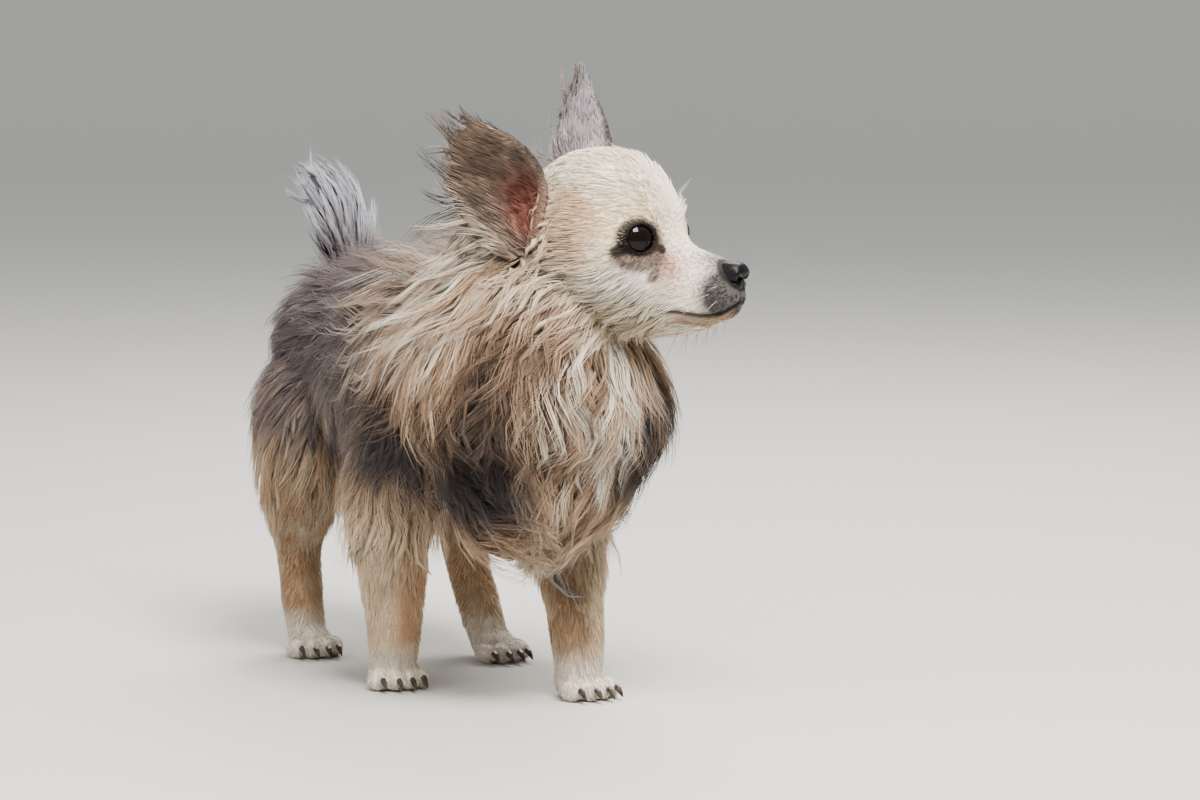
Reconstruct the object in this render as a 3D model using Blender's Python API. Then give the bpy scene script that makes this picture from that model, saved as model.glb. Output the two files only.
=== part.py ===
"""Long-haired chihuahua standing with its head turned to its left, one closed solid for each named part.

Lengths are written in millimetres and built in metres. The dog looks along -Y, its left side is +X and
the floor is z = 0 until the last step, which sets the origin under the middle of the whole dog.
"""
import math
import random

import bmesh
import bpy
import numpy as np
from mathutils import Matrix, Vector
from mathutils.bvhtree import BVHTree

MM = 0.001
GAP = 0.3
SEED = 41
RUFF_SEED = 50
CREASE_ANGLE = 38.0
FLAT_ANGLE = 1.5
WELD = 0.002

# The head has its own frame: ahead, to the dog's left and up from the middle of the skull.
SKULL_AT = (36.0, -122.0, 245.0)
HEAD_YAW = 35.0
EYE_RADIUS = 10.4
EYE_AT = (27.6, 18.4, -9.0)
EYE_TURN = 33.0
LID_THICKNESS = 1.5
LID_OPENING = (8.8, 6.9)
NOSE_AT = (72.6, -26.3)
NOSE_HALF_WIDTH = 7.4
MOUTH_HINGE = 60.0
MOUTH_TURN = 138.0
MOUTH_HEIGHTS = ((-37.0,), (-41.0,), (-43.6,), (-44.2,), (-47.5,))
MOUTH_GROOVE = 1.6

# From root to tip of an ear: half width, how far round the cup wraps in degrees, thickness.
EAR_HALF_WIDTHS = ((8,), (15,), (21.5,), (23.5,), (20.5,), (12.5,), (2.5,))
EAR_WRAPS = ((125,), (105,), (86,), (72,), (60,), (46,), (30,))
EAR_THICKNESSES = ((5.0,), (6.0,), (4.2,), (3.2,), (2.6,), (2.2,), (1.6,))
EAR_DEPTH = 0.62
EAR_WIDEN = {-1: 1.10, 1: 1.16}

# How far the core under the locks lies inside the tips: ruff, torso and plume as a share of the
# tables below, whose sizes run out to the tips.
RUFF_CORE = 0.80
TORSO_CORE = 9.0

# kind of lock: length, width, thickness, depth of the root, rise of the tip, wave to the side
RUFF_LOCK = (62, 24, 5.5, 5.0, 9, 3.0)
TORSO_LOCK = (58, 22, 5.0, 4.5, 6, 2.0)
PLUME_LOCK = (29, 17, 5.5, 0, 3, 2.0)
BREECHES_LOCK = (42, 15, 4.5, 4.0, 7, 1.5)
FEATHER_LOCK = (30, 11, 4.0, 3.5, 5, 1.0)
FRINGE_LOCK = (30, 7.5, 2.0, 0, 5, 2.0)
LOCK_WIDTHS = (0.85, 1.0, 0.92, 0.70, 0.36)
FORE_PAW_WIDTH = 26.0
HIND_PAW_WIDTH = 24.0
TOE_RADIUS = 5.2
CLAW_LENGTH = 6.0
CLAW_RADIUS = 1.5

# place, y, top, bottom, half width, all in mm out to the tips of the coat
TORSO = (
    ("forechest", -112, 168, 112, 24),
    ("shoulders", -90, 204, 96, 44),
    ("withers", -62, 219, 88, 56),
    ("ribs", -25, 218, 86, 60),
    ("waist", 15, 214, 90, 58),
    ("loin", 50, 212, 98, 56),
    ("hips", 80, 208, 108, 57),
    ("rump", 110, 197, 120, 47),
    ("seat", 127, 177, 140, 26),
)
# place, x, y, z, half width, depth forward, depth behind, out to the tips of the ruff
NECK = (
    ("nape", 30, -108, 244, 31, 24, 25),
    ("throat", 26, -108, 222, 47, 40, 41),
    ("collar", 17, -102, 196, 63, 56, 57),
    ("ruff", 13, -96, 166, 78, 72, 67),
    ("mane", 11, -93, 137, 78, 74, 62),
    ("apron", 9, -95, 112, 62, 64, 42),
    ("chest fringe", 9, -108, 88, 38, 36, 24),
    ("chest tip", 12, -118, 70, 14, 14, 12),
)
# place, then in the head's own frame ahead, top and bottom, and half width
HEAD = (
    ("occiput", -37, 2, -22, 13),
    ("back of skull", -30, 19, -36, 26),
    ("ears", -18, 29, -46, 33),
    ("crown", -4, 33, -52, 36),
    ("temples", 10, 32.5, -56, 36.5),
    ("forehead", 23, 27.5, -57, 32),
    ("brow", 32, 19.5, -56, 27),
    ("eyes", 38, 8.5, -55, 22.5),
    ("stop", 43, -5, -54, 18.5),
    ("bridge", 50, -12, -52.5, 15.6),
    ("muzzle", 60, -15.5, -49.5, 13.8),
    ("whisker pad", 69, -18.5, -45.5, 12.6),
    ("lips", 74.5, -22, -42.5, 9.6),
    ("lip front", 78, -28, -38.5, 4.6),
)
# place, x, y, z, half width, depth forward, depth behind
FORELEG = (
    ("shoulder", -10, 4, 156, 15, 15, 17),
    ("upper arm", 1, 2, 132, 22, 20, 23),
    ("elbow", 4, 8, 108, 23, 18, 24),
    ("forearm", 3.5, 4, 80, 20, 15, 19),
    ("wrist", 1.5, 0, 44, 15.5, 13, 14.5),
    ("pastern", 0.5, 0, 20, 13.5, 13, 11.5),
    ("heel", 0, 0, 6, 11.5, 12, 10),
)
HINDLEG = (
    ("hip", -12, 2, 168, 12, 16, 18),
    ("thigh", 3, -2, 138, 26, 32, 41),
    ("knee", 6, -6, 108, 25, 28, 39),
    ("shin", 4, 6, 82, 19.5, 19, 28),
    ("hock", 0, 17, 56, 12.5, 12.5, 16),
    ("shank", 0, 12, 30, 11.5, 11.5, 13),
    ("heel", 0, 4, 7, 11, 12, 10),
)
PLUME_ACROSS = 6
PLUME_ANGLES = (-50, 36)
PLUME_YAW = -26
TORSO_ROWS = 6
TORSO_FIRST_ROW = -58
TORSO_ROW_STEP = 29
TORSO_ACROSS = 9
LIMB_ANGLES = (68, 142)
BREECHES_ROOTS = ((150, (-0.5, 0.4, 1.2)), (124, (-0.1, 0.7, 1.5)), (98, (0.9, 1.8)))
FEATHER_ROOTS = ((100, (1.1, 2.0)), (76, (1.57,)))
EAR_FRINGE_AT = (0.32, 0.48, 0.64, 0.79)
RUFF_ROWS = (232, 214, 194, 172, 150, 128)
RUFF_LOCKS = (7, 9, 10, 11, 10, 8)
RUFF_SCALES = (0.8, 0.95, 1.05, 1.1, 1.05, 0.95)
# place, x, y, z, half width across the fan, thickness up, thickness down
TAIL = (
    ("dock", 0, 92, 186, 9, 9, 9),
    ("root", 1, 107, 199, 12, 10, 10),
    ("rise", 0, 112, 213, 15, 10, 10),
    ("bend", -4, 112, 226, 16, 9, 9),
    ("end", -8, 110, 235, 12, 7, 7),
)


def clear_scene():
    """Removes every object the file starts with."""
    for old in list(bpy.data.objects):
        bpy.data.objects.remove(old)


def spline(rows, count):
    """count rows eased through the given rows of numbers, evenly spread between them."""
    rows = np.array(rows, dtype=float)
    padded = np.vstack([2 * rows[0] - rows[1], rows, 2 * rows[-1] - rows[-2]])
    result = []
    for t in np.linspace(0, len(rows) - 1, count):
        i = min(int(t), len(rows) - 2)
        f = t - i
        before, start, end, after = padded[i:i + 4]
        curve = 2 * start + (end - before) * f
        curve = curve + (2 * before - 5 * start + 4 * end - after) * f ** 2
        curve = curve + (3 * start - before - 3 * end + after) * f ** 3
        result.append(curve / 2)
    return np.array(result)


def new_object(name, points, faces):
    """A mesh object from points in mm, with its faces turned outward."""
    mesh = bpy.data.meshes.new(name)
    mesh.from_pydata([tuple(c * MM for c in p) for p in points], [], faces)
    work = bmesh.new()
    work.from_mesh(mesh)
    bmesh.ops.recalc_face_normals(work, faces=work.faces)
    if work.calc_volume(signed=True) < 0:
        bmesh.ops.reverse_faces(work, faces=work.faces)
    work.to_mesh(mesh)
    work.free()
    made = bpy.data.objects.new(name, mesh)
    bpy.context.scene.collection.objects.link(made)
    return made


def skin_rings(name, rings, first_pole, last_pole):
    """A closed solid through rings of equal length, closed by a point at each end."""
    points = [first_pole]
    for ring in rings:
        points.extend(ring)
    points.append(last_pole)
    size = len(rings[0])
    faces = []
    for k in range(size):
        nxt = (k + 1) % size
        faces.append((0, 1 + nxt, 1 + k))
        for i in range(len(rings) - 1):
            low = 1 + i * size
            faces.append((low + k, low + nxt, low + size + nxt, low + size + k))
        low = 1 + (len(rings) - 1) * size
        faces.append((low + k, low + nxt, len(points) - 1))
    return new_object(name, points, faces)


def ring_shape(segments, half_width, up, down, roundness):
    """Side and height steps of one section, fuller at the corners as roundness rises above 2."""
    for k in range(segments):
        angle = 2 * math.pi * k / segments
        across = math.cos(angle)
        height = math.sin(angle)
        side = math.copysign(abs(across) ** (2 / roundness), across) * half_width
        rise = math.copysign(abs(height) ** (2 / roundness), height)
        yield side, rise * (up if rise > 0 else down)


def loft(name, rows, hint, ring_count, segments, roundness=2.2, nose=0.5):
    """A solid whose sections follow rows of x, y, z, half width, up, down. hint is the sections' up."""
    rows = spline(rows, ring_count)
    centres = [Vector(row[:3]) for row in rows]
    rings = []
    for i, row in enumerate(rows):
        along = centres[min(i + 1, ring_count - 1)] - centres[max(i - 1, 0)]
        along.normalize()
        side = along.cross(Vector(hint)).normalized()
        up = side.cross(along)
        ring = []
        for across, rise in ring_shape(segments, row[3], row[4], row[5], roundness):
            ring.append(centres[i] + side * across + up * rise)
        rings.append(ring)
    start = centres[0] + (centres[0] - centres[1]).normalized() * rows[0][3] * nose
    end = centres[-1] + (centres[-1] - centres[-2]).normalized() * rows[-1][3] * nose
    return skin_rings(name, rings, start, end)


def ball(name, centre, radii, segments, rings, turn=None):
    """An ellipsoid in mm, its own axes turned by a matrix."""
    turn = turn or Matrix.Identity(3)
    layers = []
    for i in range(1, rings):
        polar = math.pi * i / rings
        layer = []
        for k in range(segments):
            angle = 2 * math.pi * k / segments
            place = Vector((math.cos(angle) * math.sin(polar) * radii[0],
                            math.sin(angle) * math.sin(polar) * radii[1],
                            math.cos(polar) * radii[2]))
            layer.append(Vector(centre) + turn @ place)
        layers.append(layer)
    top = Vector(centre) + turn @ Vector((0, 0, radii[2]))
    bottom = Vector(centre) - turn @ Vector((0, 0, radii[2]))
    return skin_rings(name, layers, top, bottom)


def head_place(ahead, left, up):
    """A point of the head's own frame, in the dog's frame."""
    yaw = math.radians(HEAD_YAW)
    x = SKULL_AT[0] + ahead * math.sin(yaw) + left * math.cos(yaw)
    y = SKULL_AT[1] - ahead * math.cos(yaw) + left * math.sin(yaw)
    return Vector((x, y, SKULL_AT[2] + up))


def head_turn():
    """The matrix that turns ahead, left, up into the dog's frame."""
    origin = head_place(0, 0, 0)
    ahead = head_place(1, 0, 0) - origin
    left = head_place(0, 1, 0) - origin
    return Matrix((ahead, left, Vector((0, 0, 1)))).transposed()


def combine(target, others, operation):
    """Adds or cuts the others in one Boolean, keeps the largest closed surface and removes the others."""
    tools = bpy.data.collections.new("tools")
    bpy.context.scene.collection.children.link(tools)
    for other in others:
        bpy.context.scene.collection.objects.unlink(other)
        tools.objects.link(other)
        other.hide_render = True
        other.display_type = "WIRE"
    step = target.modifiers.new("combine", "BOOLEAN")
    step.operation = operation
    step.operand_type = "COLLECTION"
    step.collection = tools
    step.solver = "MANIFOLD"
    depsgraph = bpy.context.evaluated_depsgraph_get()
    result = bpy.data.meshes.new_from_object(target.evaluated_get(depsgraph))
    target.modifiers.clear()
    target.data = result
    for other in others:
        bpy.data.objects.remove(other)
    bpy.data.collections.remove(tools)
    keep_largest(target)


def keep_largest(target):
    """Leaves only the closed surface with the largest volume."""
    work = bmesh.new()
    work.from_mesh(target.data)
    unseen = set(work.faces)
    best = []
    best_volume = -1.0
    while unseen:
        start = unseen.pop()
        shell = [start]
        queue = [start]
        while queue:
            for edge in queue.pop().edges:
                for face in edge.link_faces:
                    if len(edge.link_faces) == 2 and face in unseen:
                        unseen.remove(face)
                        shell.append(face)
                        queue.append(face)
        volume = 0.0
        for face in shell:
            corners = [v.co for v in face.verts]
            for k in range(1, len(corners) - 1):
                volume += corners[0].dot(corners[k].cross(corners[k + 1]))
        if abs(volume) > best_volume:
            best_volume = abs(volume)
            best = shell
    keep = set(best)
    spare = [face for face in work.faces if face not in keep]
    bmesh.ops.delete(work, geom=spare, context="FACES")
    bmesh.ops.triangulate(work, faces=work.faces)
    work.to_mesh(target.data)
    work.free()


def simplify(target):
    """Welds corners that all but touch and joins nearly flat faces, unless that would open the solid."""
    for angle in (FLAT_ANGLE, 0.1):
        work = bmesh.new()
        work.from_mesh(target.data)
        weld(work)
        bmesh.ops.dissolve_limit(work, angle_limit=math.radians(angle), verts=work.verts, edges=work.edges)
        bmesh.ops.triangulate(work, faces=work.faces)
        weld(work)
        closed = all(edge.is_manifold for edge in work.edges)
        if closed:
            work.to_mesh(target.data)
        work.free()
        if closed:
            break


def weld(work):
    """Joins corners closer than WELD and takes out the folded pairs of faces that this leaves."""
    bmesh.ops.remove_doubles(work, verts=work.verts, dist=WELD * MM)
    pairs = {}
    for face in work.faces:
        pairs.setdefault(frozenset(face.verts), []).append(face)
    folded = [face for group in pairs.values() if len(group) == 2 for face in group]
    bmesh.ops.delete(work, geom=folded, context="FACES")


def copy_of(source):
    """A copy of a solid, for use as a tool."""
    copy = bpy.data.objects.new(source.name + "_copy", source.data.copy())
    bpy.context.scene.collection.objects.link(copy)
    return copy


def grown(source, distance):
    """A copy of a solid with its surface moved outward by distance in mm and the folds in it filled."""
    copy = copy_of(source)
    work = bmesh.new()
    work.from_mesh(copy.data)
    work.normal_update()
    moves = []
    for vert in work.verts:
        moves.append(vert.normal * distance * MM * min(vert.calc_shell_factor(), 2.0))
    for vert, move in zip(work.verts, moves):
        vert.co += move
    work.to_mesh(copy.data)
    work.free()
    combine(copy, [copy_of(source)], "UNION")
    return copy


def head_form(name):
    """Skull, cheeks and muzzle as sections square to the head's own forward axis."""
    rings = []
    rows = spline([row[1:] for row in HEAD], 25)
    for ahead, top, bottom, half_width in rows:
        middle = bottom + (top - bottom) * 0.47
        skull_share = min(max((45 - ahead) / 12, 0), 1)
        ring = []
        for across, rise in ring_shape(24, half_width, top - middle, middle - bottom, 2.15):
            height = middle + rise
            narrow = 1 - 0.16 * skull_share * max(0, (-30 - height) / 28)
            cheek = 1 + 0.05 * skull_share * math.exp(-((height + 24) / 14) ** 2)
            ring.append(head_place(ahead, across * narrow * cheek, height))
        rings.append(ring)
    back = head_place(HEAD[0][1] - 5, 0, -9)
    front = head_place(HEAD[-1][1] + 0.9, 0, -33.5)
    return skin_rings(name, rings, back, front)


def eye_middle(side):
    """Middle of the eyeball, side is 1 on the dog's left and -1 on its right."""
    return head_place(EYE_AT[0], side * EYE_AT[1], EYE_AT[2])


def eye_turn(side):
    """The matrix whose x axis is the way the eye looks, y across the opening and z up."""
    turn = math.radians(EYE_TURN) * side
    local = Matrix.Rotation(turn, 3, "Z") @ Matrix.Rotation(math.radians(-4), 3, "Y")
    return head_turn() @ local


def build_head():
    """The head with lids round each eye, a mouth line, and room for the eyes and the nose."""
    head = head_form("head")
    lids = []
    for side in (-1, 1):
        radius = EYE_RADIUS + GAP + LID_THICKNESS
        lids.append(ball("lid", eye_middle(side), (radius,) * 3, 16, 10, eye_turn(side)))
    combine(head, lids, "UNION")
    for side in (-1, 1):
        socket = ball("socket", eye_middle(side), (EYE_RADIUS + GAP,) * 3, 16, 10, eye_turn(side))
        opening_at = eye_middle(side) + eye_turn(side) @ Vector((EYE_RADIUS + 2, 0, 0))
        opening = (EYE_RADIUS, LID_OPENING[0], LID_OPENING[1])
        combine(socket, [ball("opening", opening_at, opening, 14, 8, eye_turn(side))], "UNION")
        combine(head, [socket], "DIFFERENCE")
    combine(head, [mouth_cutter(head)], "DIFFERENCE")
    return head


def mouth_cutter(head):
    """A thin wedge that follows the muzzle's own surface from one corner of the mouth to the other."""
    surface = surface_of(head)
    heights = spline(MOUTH_HEIGHTS, 10)
    rings = []
    for k in range(-9, 10):
        turn = math.radians(MOUTH_TURN) * k / 9
        height = float(heights[abs(k)][0])
        outward = head_place(math.cos(turn), math.sin(turn), 0) - head_place(0, 0, 0)
        edge = surface.ray_cast(head_place(MOUTH_HINGE, 0, height), outward)[0]
        half = MOUTH_GROOVE / 2 * (1 - 0.6 * (abs(k) / 9) ** 3)
        rise = Vector((0, 0, half))
        inner = edge - outward * 2.6
        outer = edge + outward * 3.0
        rings.append([inner + rise * 0.4, outer + rise * 2.2, outer - rise * 2.2, inner - rise * 0.4])
    first = sum(rings[0], Vector()) / 4
    last = sum(rings[-1], Vector()) / 4
    return skin_rings("mouth", rings, first, last)


def build_eye(name, side):
    """The eyeball, a whole ball behind the lids."""
    return ball(name, eye_middle(side), (EYE_RADIUS,) * 3, 14, 8, eye_turn(side))


def nose_form():
    """The nose leather before its nostrils are cut."""
    rows = []
    for ahead, grow in ((-6.5, 0.72), (-3, 0.92), (1.5, 1.0), (5, 0.9), (7, 0.62)):
        place = head_place(NOSE_AT[0] + ahead, 0, NOSE_AT[1] - 0.15 * ahead)
        rows.append((*place, NOSE_HALF_WIDTH * grow, 7.2 * grow, 7.8 * grow))
    return loft("nose", rows, (0, 0, 1), 7, 14, 2.5, 0.12)


def build_nose():
    """The nose leather with two nostrils and the slits beside them."""
    nose = nose_form()
    cuts = []
    for side in (-1, 1):
        hole = head_place(NOSE_AT[0] + 6.5, side * 3.7, NOSE_AT[1] - 1.6)
        turn = head_turn() @ Matrix.Rotation(math.radians(28) * side, 3, "Z")
        cuts.append(ball("nostril", hole, (4.2, 1.5, 2.3), 10, 6, turn))
        slit = head_place(NOSE_AT[0] + 4.0, side * 6.6, NOSE_AT[1] - 3.1)
        turn = head_turn() @ Matrix.Rotation(math.radians(62) * side, 3, "Z")
        cuts.append(ball("slit", slit, (2.6, 2.4, 0.8), 10, 6, turn))
    for cut in cuts:
        combine(nose, [cut], "DIFFERENCE")
    return nose


def torso_core():
    """Ribs, waist and hips under the locks."""
    rows = []
    for _, y, top, bottom, half_width in TORSO:
        top -= TORSO_CORE
        bottom += TORSO_CORE
        half_width -= TORSO_CORE * 0.9
        middle = bottom + (top - bottom) * 0.56
        rows.append((0, y, middle, half_width, top - middle, middle - bottom))
    return loft("torso", rows, (0, 0, 1), 12, 14, 2.25, 0.3)


def torso_locks(torso, guide):
    """Locks along the back, flanks, belly and seat, bent over the thighs and shoulders."""
    random.seed(SEED)
    own = surface_of(torso)
    locks = []
    for row in range(TORSO_ROWS):
        y = TORSO_FIRST_ROW + row * TORSO_ROW_STEP
        for k in range(TORSO_ACROSS):
            share = (k + 0.5 * (row % 2)) / (TORSO_ACROSS - 0.5)
            angle = math.radians(-155 + 310 * share + random.uniform(-5, 5))
            outward = (math.sin(angle), 0.15, math.cos(angle))
            root = root_on(guide, (0, y + random.uniform(-5, 5), 160), outward)
            beside_limb = LIMB_ANGLES[0] < abs(math.degrees(angle)) < LIMB_ANGLES[1]
            under_seat = abs(math.degrees(angle)) > 120 and y > 60
            open_flank = -30 < y < 10 or not beside_limb
            if on_surface(own, root) and open_flank and not under_seat:
                locks.append(build_lock(guide, root, torso_lie, TORSO_LOCK))
    combine(torso, locks, "UNION")


def torso_lie(place):
    """Back along the spine, down over the flanks and seat."""
    fall = min(max((195 - place.z) / 70, 0), 1)
    return (0.12 * math.copysign(1, place.x) * (1 - fall), 1.0, -0.25 - 0.85 * fall)


def neck_core():
    """Neck and chest under the locks of the ruff."""
    yaw = math.radians(HEAD_YAW * 0.5)
    hint = (math.sin(yaw), -math.cos(yaw), 0)
    rows = []
    for _, x, y, z, half_width, fore, back in NECK:
        rows.append((x, y, z + (152 - z) * (1 - RUFF_CORE) * 0.6, half_width * RUFF_CORE, fore * RUFF_CORE,
                     back * RUFF_CORE))
    return loft("neck", rows, hint, 12, 16, 2.1, 0.3)


def neck_locks(neck, guide):
    """Rows of locks that fall from the cheeks and nape over the shoulders to the chest."""
    random.seed(SEED + RUFF_SEED)
    own = surface_of(neck)
    locks = []
    for row, z in enumerate(RUFF_ROWS):
        middle = ruff_middle(z)
        count = RUFF_LOCKS[row]
        for k in range(count):
            angle = 2 * math.pi * (k + 0.5 * (row % 2)) / count + random.uniform(-0.12, 0.12)
            outward = (math.sin(angle), -math.cos(angle), 0.0)
            height = Vector((0, 0, random.uniform(-5, 5)))
            root = root_on(guide, middle + height, outward)
            if on_surface(own, root):
                locks.append(build_lock(guide, root, ruff_lie, RUFF_LOCK, RUFF_SCALES[row]))
    combine(neck, locks, "UNION")


def ruff_middle(z):
    """The ruff's own middle at a height."""
    rows = [row[1:4] for row in NECK]
    for upper, lower in zip(rows, rows[1:]):
        if z >= lower[2]:
            break
    share = (upper[2] - z) / (upper[2] - lower[2])
    return Vector((upper[0] + (lower[0] - upper[0]) * share, upper[1] + (lower[1] - upper[1]) * share, z))


def ruff_lie(place):
    """Down and outward from the neck, swept back over the shoulders, in toward the chest low down."""
    middle = ruff_middle(min(max(place.z, 70), 240))
    outward = place - middle
    outward.z = 0
    outward.normalize()
    low = min(max((150 - place.z) / 70, 0), 1)
    rear = max(outward.y, 0)
    flare = 0.30 * (1 - low) - 0.22 * low
    return outward * flare + Vector((-0.10, 0.34 * (1 - low) + 0.75 * rear, -1.0 + 0.35 * rear))


def paw_pieces(middle, yaw, width):
    """The pad and four toes of one foot, middle is the point on the floor under the foot."""
    pieces = []
    turn = Matrix.Rotation(math.radians(yaw), 3, "Z")
    half = width / 2
    pad = Vector(middle) + turn @ Vector((0, 1, 7.5))
    pieces.append(ball("pad", pad, (half * 0.92, half * 1.02, 8.8), 10, 6, turn))
    for k in range(4):
        place = toe_place(middle, turn, half, k)
        toe_size = (TOE_RADIUS * 0.92, TOE_RADIUS * 1.45, TOE_RADIUS * 1.1)
        pieces.append(ball("toe", place, toe_size, 8, 5, turn))
    return pieces


def toe_place(middle, turn, half, k):
    """Middle of toe k of four, the two inner toes stand ahead of the outer two."""
    across = (k - 1.5) * half * 0.56
    ahead = half * (0.98 if k in (1, 2) else 0.70)
    return Vector(middle) + turn @ Vector((across, -ahead, TOE_RADIUS * 0.98))


def claw_pieces(stem, middle, yaw, width):
    """Four curved claws, each rooted in the front of its toe."""
    claws = []
    turn = Matrix.Rotation(math.radians(yaw), 3, "Z")
    for k in range(4):
        toe = toe_place(middle, turn, width / 2, k)
        rows = []
        for t, thick in ((0, 1.0), (0.4, 0.95), (0.75, 0.6), (1, 0.2)):
            ahead = TOE_RADIUS * 1.38 + GAP + 0.45 + CLAW_LENGTH * t
            drop = 1.2 - 4.2 * t ** 1.6
            place = toe + turn @ Vector((0, -ahead, drop))
            rows.append((*place, CLAW_RADIUS * thick, CLAW_RADIUS * 1.25 * thick, CLAW_RADIUS * 1.1 * thick))
        claws.append(loft(f"{stem}_{k + 1}", rows, (0, 0, 1), 4, 6, 2.0, 0.3))
    return claws


def build_leg(name, rows, at, foot, yaw, paw_width, side):
    """A leg from hip or shoulder to its foot. Rows are x outward, y, z; the leg slants to reach foot."""
    slanted = []
    for _, out, y, z, half_width, fore, back in rows:
        share = min(max(1 - (z - 6) / (rows[0][3] - 6), 0), 1)
        x = at[0] + side * out + (foot[0] - at[0]) * share
        slanted.append((x, at[1] + y + (foot[1] - at[1]) * share, z, half_width, fore, back))
    leg = loft(name, slanted, (0, -1, 0), 11, 12, 2.1, 0.4)
    combine(leg, paw_pieces((foot[0], foot[1], 0), yaw, paw_width), "UNION")
    low = -60.0
    corners = []
    for z in (low, 0.0):
        for x, y in ((-70, -70), (70, -70), (70, 70), (-70, 70)):
            corners.append((foot[0] + x, foot[1] + y, z))
    sides = [(0, 1, 2, 3), (4, 5, 6, 7), (0, 1, 5, 4), (1, 2, 6, 5), (2, 3, 7, 6), (3, 0, 4, 7)]
    combine(leg, [new_object("floor", corners, sides)], "DIFFERENCE")
    return leg


def ear_locks(ear, side):
    """Fringe locks along the rear rim of an ear, blown back from it."""
    root, tip, facing = ear_frame(side)
    along = (tip - root).normalized()
    rearward = along.cross(facing).normalized() * side
    surface = surface_of(ear)
    locks = []
    for t in EAR_FRINGE_AT:
        middle = root + (tip - root) * t
        rim = surface.find_nearest(middle + rearward * 40)[0]
        start = rim - rearward * 3.0
        blown = (rearward + along * random.uniform(-0.35, -0.05)).normalized()
        locks.append(free_lock(start, blown, facing, FRINGE_LOCK, 1.15 - 0.5 * t))
    combine(ear, locks, "UNION")


def free_lock(root, along, up, kind, scale):
    """One thin lock that stands free of any surface and droops toward its tip."""
    length, width, thick, _, droop, wave = kind
    length *= scale * random.uniform(0.85, 1.15)
    sway = wave * random.uniform(-1, 1)
    side = up.cross(along).normalized()
    rows = []
    for k, share in enumerate(LOCK_WIDTHS + (0.06,)):
        t = k / len(LOCK_WIDTHS)
        place = root + along * length * t + side * sway * math.sin(3.0 * t)
        place = place - Vector((0, 0, droop * t * t))
        depth = thick * (1 - 0.5 * t) / 2
        rows.append((*place, width * share / 2, depth, depth))
    return loft("lock", rows, up, len(rows), 6, 2.0, 0.2)


def leg_lie(place):
    """Down the leg and swept back from it."""
    return (0, 0.55, -1.0)


def breeches(leg, side, guide):
    """Locks over the outside and back of a thigh."""
    own = surface_of(leg)
    locks = []
    for z, turns in BREECHES_ROOTS:
        low, high = leg_span(own, z)
        for turn in turns:
            outward = (side * math.cos(turn), math.sin(turn), 0)
            root = root_on(guide, (low + high) / 2, outward)
            if on_surface(own, root):
                locks.append(build_lock(guide, root, leg_lie, BREECHES_LOCK))
    combine(leg, locks, "UNION")


def feathers(leg, guide):
    """Locks down the back of a foreleg."""
    own = surface_of(leg)
    locks = []
    for z, turns in FEATHER_ROOTS:
        low, high = leg_span(own, z)
        for turn in turns:
            root = root_on(guide, (low + high) / 2, (math.cos(turn), math.sin(turn), 0))
            if on_surface(own, root):
                locks.append(build_lock(guide, root, leg_lie, FEATHER_LOCK))
    combine(leg, locks, "UNION")


def leg_span(surface, z):
    """Front and back points of a leg at one height, found from its own surface."""
    near = surface.find_nearest(Vector((0, 0, z)))[0]
    inner = Vector((near.x + math.copysign(6, near.x), near.y, z))
    front = surface.ray_cast(inner, Vector((0, -1, 0)))[0] or inner
    back = surface.ray_cast(inner, Vector((0, 1, 0)))[0] or inner
    return front, back


def build_tail():
    """The tail carried up and bent over to the right, with the fanned locks of its plume."""
    tail = loft("tail", [row[1:] for row in TAIL], (0, 1, 0.4), 8, 10, 2.0, 0.5)
    path = spline([row[1:4] for row in TAIL], 21)
    yaw = math.radians(PLUME_YAW)
    across = Vector((math.cos(yaw), math.sin(yaw), 0))
    facing = Vector((-math.sin(yaw), math.cos(yaw), 0.15)).normalized()
    locks = []
    for layer in (-1, 1):
        for k in range(PLUME_ACROSS):
            share = (k + 0.5 + 0.2 * layer) / PLUME_ACROSS
            angle = math.radians(PLUME_ANGLES[0] + (PLUME_ANGLES[1] - PLUME_ANGLES[0]) * share)
            height = 0.46 + 0.24 * math.sin(math.pi * share)
            start = Vector(path[round(20 * height)]) + facing * layer * 3.0 + across * 8 * (2 * share - 1)
            along = (across * math.sin(angle) + Vector((0, 0, math.cos(angle)))).normalized()
            along = (along + facing * layer * random.uniform(0.02, 0.16)).normalized()
            locks.append(free_lock(start, along, facing, PLUME_LOCK, 1.0))
    combine(tail, locks, "UNION")
    return tail


def ear_frame(side):
    """Root, tip and the way the cup faces, for one ear, in the dog's frame."""
    if side < 0:
        root = head_place(-22, -37, -18)
        tip = head_place(-52, -48, 51)
        facing = head_turn() @ Vector((0.22, -0.95, -0.22))
    else:
        root = head_place(-15, 32, -12)
        tip = head_place(-36, 43, 67)
        facing = head_turn() @ Vector((0.50, 0.86, -0.05))
    return root, tip, facing.normalized()


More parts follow.
